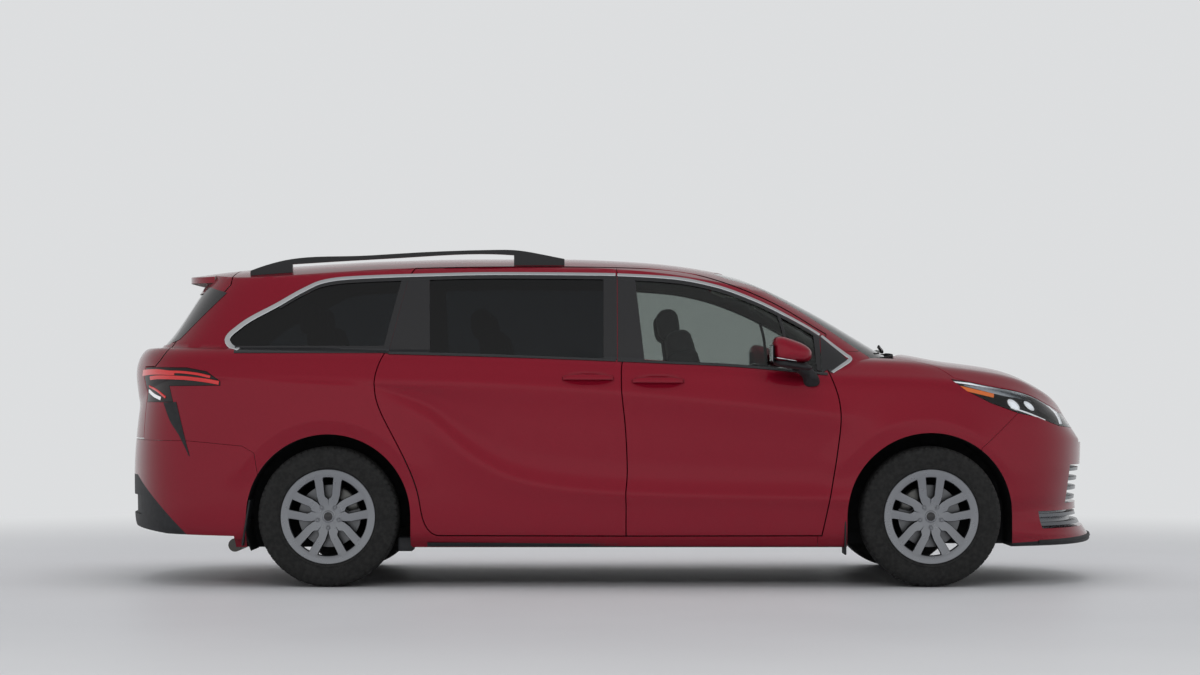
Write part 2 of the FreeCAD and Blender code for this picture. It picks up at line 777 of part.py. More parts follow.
take("front_fender", fender_space(-half_seam), fender_space(half_seam))
lower_arm_wide = size("lower_arm_wide", 60)
arm_slot = block(front_axle_x - lower_arm_wide, front_axle_x + lower_arm_wide,
                 half_width - arch_depth - overrun, half_width - arch_depth + overrun,
                 -overrun, floor_top)
for name in ("front_fender", "underbody"):
    pieces[name] = clean(pieces[name].cut(arm_slot))
# The scuttle lies below the rear edge of the hood, so that the hood can swing.
scuttle_depth = size("scuttle_depth", 50)
scuttle_clear = size("scuttle_clear", 8)
scuttle = block(along(.90), along(1.0), -overrun, .78 * half_width, .60 * height, .75 * height)
scuttle = scuttle.cut([screen_prism(scuttle_clear), moved_copy(outer, 0, 0, -scuttle_depth)])
pieces["underbody"] = clean(pieces["underbody"].cut(scuttle))
pieces["body_side"] = max(shell.Solids, key=lambda solid: solid.Volume)


# Grille: two recesses in the front bumper, each with a back plate and bars that follow the nose.
grille_depth = size("grille_depth", 62)
grille_plate = size("grille_plate", 12)
bar_inset = size("bar_inset", 8)
bar_high = size("bar_high", 17)
low_grille_shares = (.60, .238, .352)
high_grille_shares = (.44, .418, .462)
intake_shares = (.79, .166, .2175)
low_bars = 4
high_bars = 2
intake_bars = 2


def grille_window(shares, grow):
    reach, low_z, high_z = shares
    return block(along(1.55), half_length + overrun, -overrun, reach * half_width + grow,
                 low_z * height - grow, high_z * height + grow)


def behind_nose(depth):
    return moved_copy(lower, -depth, 0, 0)


nose_core = behind_nose(grille_depth)
grille_room = grille_window(low_grille_shares, 0).fuse(
    [grille_window(high_grille_shares, 0), grille_window(intake_shares, 0)])
pieces["front_bumper"] = clean(pieces["front_bumper"].cut(grille_room.cut(nose_core)))
plate_face = behind_nose(grille_depth - grille_plate)
bar_face = behind_nose(bar_inset)
grille_parts = []
for shares, bars in ((low_grille_shares, low_bars), (high_grille_shares, high_bars),
                     (intake_shares, intake_bars)):
    window = grille_window(shares, -fit)
    grille_parts.append([window.common(plate_face).cut(nose_core)])
    for i in range(bars):
        middle = (shares[1] + (shares[2] - shares[1]) * (i + .5) / bars) * height
        bar = block(along(1.55), half_length + overrun, -overrun, shares[0] * half_width - fit,
                    middle - bar_high / 2, middle + bar_high / 2)
        grille_parts[-1].append(bar.common(bar_face).cut(nose_core))
grilles = [parts[0].fuse(parts[1:]) for parts in grille_parts]

# Threaded socket for a towing eye, below the grille on the left.
tow_bore = size("tow_bore", 9)
tow_depth = size("tow_depth", 140)
tow_y = size("tow_y", 690)
tow_z = size("tow_z", 470)
tow_x = along(1.61)
tow_hole = Part.makeCylinder(tow_bore, tow_depth + overrun, V(tow_x, tow_y, tow_z), V(1, 0, 0))

# The floor behind the cabin steps up over the rear axle.
rear_floor_bottom = size("rear_floor_bottom", 300)
rear_floor_wall = size("rear_floor_wall", 60)
rear_floor_half = half_width - arch_depth - seam_gap
rear_floor_front_share = .14
axle_bay = block(along(-.36), along(rear_floor_front_share), -overrun, half_width, -overrun, rear_floor_bottom)
rear_floor = block(along(-.262), along(.17), 0, rear_floor_half, rear_floor_bottom,
                   rear_floor_bottom + rear_floor_wall)
pieces["underbody"] = clean(pieces["underbody"].cut(axle_bay).fuse(rear_floor))


def mirrored(shape):
    return shape.mirror(V(0, 0, 0), V(0, 1, 0))


def whole(shape):
    """Both halves of a piece that crosses the middle."""
    both = shape.fuse(mirrored(shape)).removeSplitter()
    return both.Solids[0] if len(both.Solids) == 1 else both


nodes = []


def keep(name, shape, place=None):
    """A finished shape as a document object of its own."""
    feature = doc.addObject("Part::Feature", name)
    feature.Label = name
    feature.Shape = shape
    nodes.append(feature)
    return feature


for name in ("hood", "windscreen", "tailgate", "tailgate_glass", "roof", "front_bumper",
             "rear_bumper", "underbody"):
    keep(name, whole(pieces[name]))
bumper_node = [node for node in nodes if node.Label == "front_bumper"][0]
bumper_node.Shape = bumper_node.Shape.cut(tow_hole)
keep("grille", Part.makeCompound([whole(grille) for grille in grilles]))
for name in ("body_side", "front_door", "sliding_door", "front_door_glass"):
    keep(name + "_left", pieces[name])
    keep(name + "_right", mirrored(pieces[name]))
for name, label in (("front_fender", "front_fenders"), ("quarter_glass", "quarter_glass"),
                    ("sliding_door_glass", "sliding_door_glass"), ("headlamp", "headlamps"),
                    ("tail_lamp", "tail_lamps")):
    keep(label, Part.makeCompound([pieces[name], mirrored(pieces[name])]))


def at(x, y, z):
    return FreeCAD.Placement(V(x, y, z), FreeCAD.Rotation())


def primitive(kind, name, place, **expressions):
    """A plain solid whose sizes follow the sheet."""
    item = doc.addObject(kind, name)
    for property_name, expression in expressions.items():
        item.setExpression(property_name, expression)
    item.Placement = place
    return item


def box(name, x, y, z, long, across, high):
    """A block centred on x and y that stands on z, its sizes given as sheet expressions."""
    item = primitive("Part::Box", name, at(x, y, z), Length=long, Width=across, Height=high)
    doc.recompute()
    item.Placement = at(x - item.Length.Value / 2, y - item.Width.Value / 2, z)
    return item


def rod(name, start, direction, radius, long):
    """A round bar from a point along a direction, its sizes given as sheet expressions."""
    place = FreeCAD.Placement(start, FreeCAD.Rotation(V(0, 0, 1), direction))
    return primitive("Part::Cylinder", name, place, Radius=radius, Height=long)


def joined(name, parts):
    fusion = doc.addObject("Part::MultiFuse", name)
    fusion.Label = name
    fusion.Shapes = parts
    return fusion


def reflected(name, source):
    twin = doc.addObject("Part::Mirroring", name)
    twin.Label = name
    twin.Source = source
    twin.Base = V(0, 0, 0)
    twin.Normal = V(0, 1, 0)
    return twin


def pair(name, source):
    """A left piece and its mirror image in one node."""
    both = doc.addObject("Part::Compound", name)
    both.Label = name
    both.Links = [source, reflected(name + "_twin", source)]
    return both


def origin_plane(body, role):
    return [item for item in body.Origin.OriginFeatures if item.Role == role][0]


def new_body(name):
    body = doc.addObject("PartDesign::Body", name)
    body.Label = name
    return body


def new_sketch(body, role, loops, offset=0):
    """A sketch of closed straight loops on one of the body's own planes."""
    sketch = body.newObject("Sketcher::SketchObject", body.Name + "_sketch")
    sketch.AttachmentSupport = [(origin_plane(body, role), "")]
    sketch.MapMode = "FlatFace"
    sketch.AttachmentOffset = at(0, 0, offset)
    for loop in loops:
        first = sketch.GeometryCount
        for a, b in zip(loop, loop[1:] + loop[:1]):
            sketch.addGeometry(Part.LineSegment(V(a[0], a[1], 0), V(b[0], b[1], 0)))
        last = sketch.GeometryCount - 1
        for index in range(first, last):
            sketch.addConstraint(Sketcher.Constraint("Coincident", index, 2, index + 1, 1))
        sketch.addConstraint(Sketcher.Constraint("Coincident", last, 2, first, 1))
    return sketch


def pad(body, sketch, thickness, midplane=False):
    feature = body.newObject("PartDesign::Pad", body.Name + "_pad")
    feature.Profile = sketch
    feature.setExpression("Length", thickness)
    feature.Midplane = midplane
    sketch.Visibility = False
    return feature


def revolve(body, sketch):
    feature = body.newObject("PartDesign::Revolution", body.Name + "_turn")
    feature.Profile = sketch
    feature.ReferenceAxis = (sketch, ["H_Axis"])
    return feature


# Tyres and rims: turned round the Y axis, with the outer face towards -Y.
tyre_profile_shares = [(-.50, 0), (-.50, .88), (-.45, 1), (.50, 1), (.50, 0)]
drum_radius = size("drum_radius", 229)
rim_lip = size("rim_lip", 14)
rim_barrel = size("rim_barrel", 8)
hub_radius = size("hub_radius", 66)
hub_length = size("hub_length", 60)
spoke_depth = size("spoke_depth", 34)
spoke_inset = size("spoke_inset", 16)
bore_radius = size("bore_radius", 32)
disc_radius = size("disc_radius", 160)
disc_wall = size("disc_wall", 26)
disc_offset = size("disc_offset", 20)
barrel_inner = drum_radius - rim_barrel
flange_share = .466


def tyre(name, place):
    body = new_body(name)
    bore = rim_radius + fit
    profile = [(share * tyre_width, bore + rise * (tyre_radius - bore))
               for share, rise in tyre_profile_shares]
    revolve(body, new_sketch(body, "YZ_Plane", [profile]))
    body.Placement = place
    nodes.append(body)


def rim(name, place):
    body = new_body(name)
    outer_side = flange_share * tyre_width
    flange_side = outer_side - rim_lip
    barrel = [(-outer_side, barrel_inner), (outer_side, barrel_inner), (outer_side, rim_radius),
              (flange_side, rim_radius), (flange_side, drum_radius), (-flange_side, drum_radius),
              (-flange_side, rim_radius), (-outer_side, rim_radius)]
    revolve(body, new_sketch(body, "YZ_Plane", [barrel]))
    face = outer_side - spoke_inset
    hub = [(-face, 0), (disc_offset, 0), (disc_offset, disc_radius),
           (disc_offset - disc_wall, disc_radius), (disc_offset - disc_wall, hub_radius),
           (-face, hub_radius)]
    revolve(body, new_sketch(body, "YZ_Plane", [hub]))
    outer_edge = barrel_inner + rim_barrel * .4
    start = hub_radius * .8
    pair_outline = [(-.56 * hub_radius, start), (.56 * hub_radius, start),
                    (.345 * barrel_inner, outer_edge * .938), (-.345 * barrel_inner, outer_edge * .938)]
    slot = [(-.24 * hub_radius, hub_radius * 1.48), (.24 * hub_radius, hub_radius * 1.48),
            (.112 * barrel_inner, barrel_inner * .885), (-.112 * barrel_inner, barrel_inner * .885)]
    sketch = new_sketch(body, "XZ_Plane", [pair_outline, slot], face - spoke_depth)
    spokes = pad(body, sketch, "Sizes.spoke_depth")
    doc.recompute()
    pattern = body.newObject("PartDesign::PolarPattern", name + "_spokes")
    pattern.Originals = [spokes]
    pattern.Axis = (sketch, ["N_Axis"])
    pattern.Angle = 360
    pattern.Occurrences = 5
    body.Tip = pattern
    body.Placement = place
    nodes.append(body)


turned = FreeCAD.Rotation(V(0, 0, 1), 180)
for corner, x, side in (("front_left", front_axle_x, 1), ("front_right", front_axle_x, -1),
                        ("rear_left", rear_axle_x, 1), ("rear_right", rear_axle_x, -1)):
    spin = turned if side > 0 else FreeCAD.Rotation()
    hub_place = FreeCAD.Placement(V(x, side * track / 2, tyre_radius), spin)
    tyre("tyre_" + corner, hub_place)
    rim("rim_" + corner, hub_place)

# Front knuckles: an upright, the stub that carries the wheel and a steering arm.
upright_long = size("upright_long", 90)
upright_thick = size("upright_thick", 44)
upright_high = size("upright_high", 190)
stub_radius = size("stub_radius", 30)
stub_length = size("stub_length", 60)
arm_long = size("arm_long", 130)
arm_thick = size("arm_thick", 24)
disc_back = track / 2 - disc_offset
knuckle_y = disc_back - fit - upright_thick / 2
upright = box("upright", front_axle_x, knuckle_y, tyre_radius - upright_high / 2,
              "Sizes.upright_long", "Sizes.upright_thick", "Sizes.upright_high")
steer_arm = box("steer_arm", front_axle_x - arm_long / 2, knuckle_y - upright_thick / 4,
                tyre_radius - upright_high / 2, "Sizes.arm_long", "Sizes.arm_thick",
                "Sizes.arm_thick")
knuckle_left = joined("knuckle_left", [upright, steer_arm])
knuckle_right = reflected("knuckle_right", knuckle_left)
nodes += [knuckle_left, knuckle_right]

# Front subframe with its lower arms, the rear beam axle, engine, exhaust and fuel tank.
rail_width = size("rail_width", 70)
rail_height = size("rail_height", 60)
subframe_long = size("subframe_long", 560)
subframe_half = size("subframe_half", 400)
subframe_z = size("subframe_z", 195)
lower_arm_thick = size("lower_arm_thick", 26)
ball_radius = size("ball_radius", 16)
subframe_x = along(.935) + shut_gap + subframe_long / 2
side_rail = box("side_rail", subframe_x, subframe_half, subframe_z,
                "Sizes.subframe_long", "Sizes.rail_width", "Sizes.rail_height")
side_rail_twin = reflected("side_rail_twin", side_rail)
cross_rear = box("cross_rear", subframe_x - subframe_long * .4, 0, subframe_z, "Sizes.rail_width",
                 "2 * Sizes.subframe_half", "Sizes.rail_height")
cross_front = box("cross_front", subframe_x + subframe_long * .4, 0, subframe_z,
                  "Sizes.rail_width", "2 * Sizes.subframe_half", "Sizes.rail_height")
lower_arm = primitive("Part::Box", "lower_arm", at(front_axle_x - lower_arm_wide / 2, subframe_half,
                                                   subframe_z + rail_height - lower_arm_thick),
                      Length="Sizes.lower_arm_wide", Height="Sizes.lower_arm_thick")
lower_arm.Width = knuckle_y - subframe_half
lower_arm_twin = reflected("lower_arm_twin", lower_arm)
arm_z = subframe_z + rail_height - lower_arm_thick
ball_joint = primitive("Part::Cylinder", "ball_joint", at(front_axle_x, knuckle_y, arm_z),
                       Radius="Sizes.ball_radius")
ball_joint.Height = tyre_radius - upright_high / 2 - fit - arm_z
ball_joint_twin = reflected("ball_joint_twin", ball_joint)
front_subframe = joined("front_subframe", [side_rail, side_rail_twin, cross_rear, cross_front,
                                           lower_arm, lower_arm_twin, ball_joint, ball_joint_twin])
nodes.append(front_subframe)

beam_radius = size("beam_radius", 38)
beam_end = track / 2 - disc_offset - fit
hub_carrier_radius = size("hub_carrier_radius", 70)
hub_carrier_length = size("hub_carrier_length", 160)
trail_wide = size("trail_wide", 50)
trail_high = size("trail_high", 90)
trail_y = size("trail_y", 700)
beam_z = rear_floor_bottom - 1.5 * beam_radius
beam = rod("beam", V(rear_axle_x, -beam_end + overrun, beam_z), V(0, 1, 0), "Sizes.beam_radius",
           "Sizes.track - 2 * (Sizes.disc_offset + Sizes.fit + Sizes.overrun)")
carrier = rod("hub_carrier", V(rear_axle_x, beam_end - hub_carrier_length, tyre_radius), V(0, 1, 0),
              "Sizes.hub_carrier_radius", "Sizes.hub_carrier_length")
trailing_arm = primitive("Part::Box", "trailing_arm",
                         at(rear_axle_x - overrun, trail_y - trail_wide / 2, beam_z - beam_radius),
                         Width="Sizes.trail_wide", Height="Sizes.trail_high")
trailing_arm.Length = along(rear_floor_front_share) - fit - rear_axle_x + overrun
rear_axle = joined("rear_axle", [beam, carrier, reflected("hub_carrier_twin", carrier), trailing_arm,
                                 reflected("trailing_arm_twin", trailing_arm)])
nodes.append(rear_axle)

engine_long = size("engine_long", 460)
engine_wide = size("engine_wide", 720)
engine_high = size("engine_high", 520)
engine = box("engine", subframe_x, 0, subframe_z + rail_height + fit,
             "Sizes.engine_long", "Sizes.engine_wide", "Sizes.engine_high")
engine.Label = "engine"
nodes.append(engine)

tank_long = size("tank_long", 900)
tank_wide = size("tank_wide", 620)
tank_high = size("tank_high", 28)
fuel_tank = box("fuel_tank", along(.25), 0, sill_bottom - tank_high - fit, "Sizes.tank_long",
                "Sizes.tank_wide", "Sizes.tank_high")
fuel_tank.Label = "fuel_tank"
nodes.append(fuel_tank)

pipe_radius = size("pipe_radius", 22)
silencer_radius = size("silencer_radius", 36)

# Seats: a cushion, a back and a head restraint drawn in profile and given a width.
seat_width = size("seat_width", 520)
bench_width = size("bench_width", 1040)
seat_long = size("seat_long", 780)
seat_high = size("seat_high", 1120)
seat_profile_shares = [(-.04, 0), (.62, 0), (.66, .22), (.70, .27), (.68, .335), (.55, .35),
                       (.14, .315), (-.04, .80), (-.07, .815), (-.10, .99), (-.21, .99),
                       (-.20, .80), (-.24, .77), (-.06, .25)]


def seat(name, x, y, z, width):
    body = new_body(name)
    profile = [(place * seat_long, share * seat_high) for place, share in seat_profile_shares]
    pad(body, new_sketch(body, "XZ_Plane", [profile]), width, True)
    body.Placement = at(x, y, z + fit)
    return body


seat_y = size("seat_y", 385)
front_seat = seat("front_seat", along(.60), seat_y, floor_top, "Sizes.seat_width")
nodes.append(pair("front_seats", front_seat))
middle_seat = seat("middle_seat", along(.28), seat_y, floor_top, "Sizes.seat_width")
nodes.append(pair("middle_seats", middle_seat))
rear_bench = seat("rear_bench", along(-.05), 0, rear_floor_bottom + rear_floor_wall,
                  "Sizes.bench_width")
nodes.append(rear_bench)

# Dashboard with its console, and the steering wheel.
dash_profile_shares = [(.838, .42), (.865, .42), (.890, .56), (.920, .62), (.900, .640),
                       (.855, .648), (.835, .640), (.825, .60), (.840, .53)]
dash_width = size("dash_width", 1440)
dashboard = new_body("dashboard")
pad(dashboard, new_sketch(dashboard, "XZ_Plane", [[(along(s), h * height) for s, h in
                                                  dash_profile_shares]]), "Sizes.dash_width", True)
nodes.append(dashboard)
wheel_ring_radius = size("wheel_ring_radius", 182)
wheel_ring_tube = size("wheel_ring_tube", 15)
column_radius = size("column_radius", 24)
column_long = size("column_long", 90)
column_lean = 25
steer_x, steer_z = along(.8), .585 * height
steer_turn = FreeCAD.Rotation(V(0, 1, 0), -(90 - column_lean))
ring = primitive("Part::Torus", "steering_ring",
                 FreeCAD.Placement(V(steer_x, seat_y, steer_z), steer_turn),
                 Radius1="Sizes.wheel_ring_radius", Radius2="Sizes.wheel_ring_tube")
steer_axis = steer_turn.multVec(V(0, 0, 1))
steer_centre = V(steer_x, seat_y, steer_z)
boss_radius = size("boss_radius", 58)
boss_long = size("boss_long", 46)
spoke_wide = size("spoke_wide", 44)
spoke_thick = size("spoke_thick", 16)
boss = rod("steering_boss", steer_centre - steer_axis * boss_long, steer_axis, "Sizes.boss_radius",
           "Sizes.boss_long")
across_spoke = primitive("Part::Box", "across_spoke", FreeCAD.Placement(), Width="2 * Sizes.wheel_ring_radius",
                         Length="Sizes.spoke_wide", Height="Sizes.spoke_thick")
doc.recompute()
spoke_corner = steer_turn.multVec(V(-spoke_wide / 2, -wheel_ring_radius, -spoke_thick * 1.2))
across_spoke.Placement = FreeCAD.Placement(steer_centre + spoke_corner, steer_turn)
down_spoke = primitive("Part::Box", "down_spoke", FreeCAD.Placement(), Width="Sizes.spoke_wide",
                       Length="Sizes.wheel_ring_radius", Height="Sizes.spoke_thick")
spoke_corner = steer_turn.multVec(V(-wheel_ring_radius, -spoke_wide / 2, -spoke_thick * 1.2))
down_spoke.Placement = FreeCAD.Placement(steer_centre + spoke_corner, steer_turn)
steering_wheel = joined("steering_wheel", [ring, boss, across_spoke, down_spoke])
nodes.append(steering_wheel)
column = rod("column", steer_centre - steer_axis * (boss_long + fit), V(0, 0, 0) - steer_axis,
             "Sizes.column_radius", "2.2 * Sizes.column_long")
nodes.remove(dashboard)
dashboard.Label = "dash_pad"
cabin_room = doc.addObject("Part::Feature", "cabin_room")
cabin_room.Shape = whole(cabin_solid(seam_gap))
dash_and_column = joined("dash_and_column", [dashboard, column])
dashboard_node = doc.addObject("Part::Common", "fitted_dashboard")
dashboard_node.Base = dash_and_column
dashboard_node.Tool = cabin_room
dashboard_node.Label = "dashboard"
nodes.append(dashboard_node)

# Door mirrors: a rounded housing on a short foot that follows the door's skin.
mirror_long = size("mirror_long", 190)
mirror_wide = size("mirror_wide", 215)
mirror_high = size("mirror_high", 122)
mirror_x, mirror_y, mirror_z = along(.762), .972 * half_width, .650 * height
mirror_round = size("mirror_round", 44)
foot_long = size("foot_long", 120)
foot_high = size("foot_high", 34)
housing = Part.makeBox(mirror_long, mirror_wide, mirror_high,
                       V(mirror_x - mirror_long / 2, mirror_y, mirror_z))
housing = housing.makeFillet(mirror_round, housing.Edges)
foot = block(mirror_x, mirror_x + foot_long, .86 * half_width, mirror_y + mirror_wide / 2,
             mirror_z - foot_high, mirror_z + foot_high)
door_skin = moved_copy(outer, 0, fit, 0)
mirror = clean(housing.fuse(foot).cut(door_skin))
keep("mirror_left", mirror)
keep("mirror_right", mirrored(mirror))

# Roof rails: a bar on two feet.
rail_shares = [(-.3807, .9325), (-.30, .951), (-.2301, .9630), (.0349, .9765), (.1114, .9840),
               (.2739, .9950), (.3066, .9940), (.3389, .9860), (.3907, .9678)]
rail_gap_shares = [(-.19, .952), (.0349, .9635), (.1114, .9710), (.2739, .9820), (.305, .9790)]
rail_inner = size("rail_inner", 622)
rail_bar_width = size("rail_bar_width", 34)
rail_top = to_lengths([rail_shares])[0]
rail_outline = [rail_top, [rail_top[-1], (rail_top[-1][0], .88 * height)],
                [(rail_top[-1][0], .88 * height), (rail_top[0][0], .88 * height)],
                [(rail_top[0][0], .88 * height), rail_top[0]]]
rail = side_prism(rail_outline, rail_inner, rail_inner + rail_bar_width)
gap_top = to_lengths([rail_gap_shares])[0]
gap_foot = .88 * height
gap_outline = [gap_top, [gap_top[-1], (gap_top[-1][0], gap_foot)],
               [(gap_top[-1][0], gap_foot), (gap_top[0][0], gap_foot)],
               [(gap_top[0][0], gap_foot), gap_top[0]]]
rail = rail.cut(side_prism(gap_outline, rail_inner - overrun, rail_inner + rail_bar_width + overrun))
rail = clean(rail.cut(moved_copy(upper, 0, 0, fit)))
keep("roof_rails", Part.makeCompound([rail, mirrored(rail)]))

# Exhaust under the floor, with its silencer across the tail.
exhaust_y = size("exhaust_y", 360)
exhaust_z = sill_bottom - pipe_radius - fit
front_pipe = rod("front_pipe", V(along(-.51), exhaust_y, exhaust_z), V(1, 0, 0),
                 "Sizes.pipe_radius", ".80 * Sizes.wheelbase")
silencer_long = size("silencer_long", 480)
silencer = rod("silencer", V(along(-.52), exhaust_y - silencer_long * .8, sill_bottom - silencer_radius - fit),
               V(0, 1, 0), "Sizes.silencer_radius", "Sizes.silencer_long")
exhaust = joined("exhaust", [front_pipe, silencer])
nodes.append(exhaust)

doc.recompute()
for item in doc.Objects:
    if "Invalid" in item.State or "Error" in item.State:
        raise ValueError("%s failed: %s" % (item.Label, item.State))
for node in nodes:
    if node.Shape.isNull() or not node.Shape.isValid():
        raise ValueError("%s has no valid shape" % node.Label)
os.makedirs("parts", exist_ok=True)
for node in nodes:
    node.Shape.exportStep("parts/%s.step" % node.Label)
    print(node.Label, len(node.Shape.Solids), round(node.Shape.Volume / 1e6, 2),
          [round(c) for c in (node.Shape.BoundBox.XMin, node.Shape.BoundBox.XMax,
                              node.Shape.BoundBox.YMin, node.Shape.BoundBox.YMax,
                              node.Shape.BoundBox.ZMin, node.Shape.BoundBox.ZMax)])
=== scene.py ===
"""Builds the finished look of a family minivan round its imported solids.

Run as a script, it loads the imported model, adds every piece, the lamps, the floor and the camera.
All lengths are metres: +X is forward, +Y the left side, +Z up, and the ground is z = 0.
"""
import math

import bmesh
import bpy
import numpy as np
from bpy.props import FloatProperty, FloatVectorProperty, PointerProperty
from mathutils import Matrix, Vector


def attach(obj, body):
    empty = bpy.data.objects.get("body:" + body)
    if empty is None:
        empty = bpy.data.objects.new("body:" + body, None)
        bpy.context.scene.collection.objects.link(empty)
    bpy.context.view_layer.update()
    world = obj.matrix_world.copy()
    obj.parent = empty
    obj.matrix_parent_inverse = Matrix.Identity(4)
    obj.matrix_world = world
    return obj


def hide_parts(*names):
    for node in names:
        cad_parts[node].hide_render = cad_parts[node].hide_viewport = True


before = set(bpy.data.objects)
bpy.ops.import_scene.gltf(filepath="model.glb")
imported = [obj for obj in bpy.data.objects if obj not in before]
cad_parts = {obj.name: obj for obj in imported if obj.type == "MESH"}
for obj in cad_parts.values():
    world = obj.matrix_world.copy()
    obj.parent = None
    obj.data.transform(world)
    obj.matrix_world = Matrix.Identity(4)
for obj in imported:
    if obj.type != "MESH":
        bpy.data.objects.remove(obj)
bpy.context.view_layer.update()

bl_info = {
    "name": "Family minivan",
    "version": (1, 0, 0),
    "blender": (4, 5, 0),
    "location": "View3D > Sidebar > Minivan",
    "description": "Paint, glass, lamps, wheels, trim and cabin of a family minivan",
    "category": "Add Mesh",
}

# ---------------------------------------------------------------- the body's own measures, in metres
REAR_OVERHANG, WHEELBASE, FRONT_OVERHANG = 1.146, 3.061, .970
HEIGHT, HALF_WIDTH = 1.738, .997
HALF_LENGTH = (REAR_OVERHANG + WHEELBASE + FRONT_OVERHANG) / 2
REAR_AXLE = REAR_OVERHANG - HALF_LENGTH
FRONT_AXLE = REAR_AXLE + WHEELBASE
HUB_HEIGHT, HUB_SIDE = .357, .8625


def along(share):
    """Place along the car: 0 and 1 are the axles, -1 the rear end and 2 the front end."""
    share = np.asarray(share, float)
    behind = REAR_AXLE + share * REAR_OVERHANG
    middle = REAR_AXLE + share * WHEELBASE
    ahead = FRONT_AXLE + (share - 1) * FRONT_OVERHANG
    return np.where(share < 0, behind, np.where(share <= 1, middle, ahead))


def calm_curve(xs, ys, at):
    """Values at `at` of the curve through (xs, ys) that never overshoots: cubic pieces whose slope at
    each point is the weighted harmonic mean of the slopes on its two sides, or 0 at a turn."""
    xs, ys, at = np.asarray(xs, float), np.asarray(ys, float), np.asarray(at, float)
    flat = ys.ndim == 1
    ys = ys.reshape(len(xs), -1)
    span = np.diff(xs)
    slope = np.diff(ys, axis=0) / span[:, None]
    tangent = np.zeros_like(ys)
    tangent[0], tangent[-1] = slope[0], slope[-1]
    before, after = slope[:-1], slope[1:]
    first = (2 * span[1:] + span[:-1])[:, None]
    second = (span[1:] + 2 * span[:-1])[:, None]
    same = before * after > 0
    safe_before, safe_after = np.where(same, before, 1), np.where(same, after, 1)
    tangent[1:-1] = np.where(same, (first + second) / (first / safe_before + second / safe_after), 0)
    i = np.clip(np.searchsorted(xs, at, side="left") - 1, 0, len(xs) - 2)
    u = ((at - xs[i]) / span[i])[..., None]
    h = span[i][..., None]
    rise = 3 * u ** 2 - 2 * u ** 3
    inner = (ys[i] * (1 - rise) + ys[i + 1] * rise + tangent[i] * h * (u - 2 * u ** 2 + u ** 3)
             + tangent[i + 1] * h * (u ** 3 - u ** 2))
    low = ys[0] + tangent[0] * (at - xs[0])[..., None]
    high = ys[-1] + tangent[-1] * (at - xs[-1])[..., None]
    value = np.where((at <= xs[0])[..., None], low, np.where((at >= xs[-1])[..., None], high, inner))
    return value[..., 0] if flat else value


def spline_curve(xs, ys, at):
    """Values at `at` of the natural cubic spline through (xs, ys): its second derivatives solve one
    tridiagonal set of equations."""
    n = len(xs)
    ys = ys.reshape(n, -1)
    h = np.diff(xs)
    a = np.zeros((n, n))
    b = np.zeros((n, ys.shape[1]))
    a[0, 0] = a[-1, -1] = 1
    k = np.arange(1, n - 1)
    a[k, k - 1], a[k, k], a[k, k + 1] = h[:-1], 2 * (h[:-1] + h[1:]), h[1:]
    b[1:-1] = 6 * (np.diff(ys, axis=0)[1:] / h[1:, None] - np.diff(ys, axis=0)[:-1] / h[:-1, None])
    m = np.linalg.solve(a, b)
    i = np.clip(np.searchsorted(xs, at, side="right") - 1, 0, n - 2)
    t0, t1 = (xs[i + 1] - at)[:, None], (at - xs[i])[:, None]
    w = h[i][:, None]
    return (m[i] * t0 ** 3 / (6 * w) + m[i + 1] * t1 ** 3 / (6 * w)
            + (ys[i] / w - m[i] * w / 6) * t0 + (ys[i + 1] / w - m[i + 1] * w / 6) * t1)


# Heights along the car: belt, wheel-arch crest, shoulder, hood and roof, as in the part's own tables.
BELT = [(-1, .692), (-.43, .689), (.1, .683), (.2, .680), (.486, .660), (.65, .648), (.83, .622),
        (1, .611), (1.2, .600), (1.378, .585), (1.5355, .5636), (1.64, .536), (1.72, .512), (2, .43)]
CREST = [(-1, .45), (-.7, .565), (0, .552), (.08, .538), (.167, .480), (.236, .385), (.30, .325),
         (.385, .292), (.5, .276), (.83, .262), (1, .258), (2, .27)]
SHOULDER = [(-1, .612), (-.7, .616), (.08, .598), (.49, .564), (.62, .542), (.9, .489), (1.0, .478),
            (1.3, .455), (2, .415)]
HOOD = [(0, .700), (.9, .695), (.97, .6885), (1.09, .6695), (1.26, .6575), (1.41, .645), (1.52, .628),
        (1.59, .611), (1.69, .588), (1.78, .552), (1.85, .513), (1.95, .45)]
ROOF = [(-1.1, .885), (-.80, .915), (-.545, .9396), (-.443, .947), (-.115, .9635), (.093, .976),
        (.24, .9815), (.385, .9815), (.476, .976), (.549, .9675), (.625, .9500), (.652, .9410),
        (.719, .9100), (.80, .850), (1, .66)]


def height_line(shares):
    """A height as a function of x, from shares of the car's length and of its height."""
    xs = along([s for s, _ in shares])
    ys = np.array([h for _, h in shares]) * HEIGHT
    return lambda x: calm_curve(xs, ys, x)


belt_at, crest_at, shoulder_at = height_line(BELT), height_line(CREST), height_line(SHOULDER)
hood_at, roof_at = height_line(HOOD), height_line(ROOF)
SIDE_PLACES = [.90, .86, .81, .76, .71, .66, .61, .56, .51, .46, .41, .36, .31, .26, .21, .16, .11, .05, 0]
END_PLACES = np.array([0, .12, .24, .36, .47, .57, .66, .73, .79])


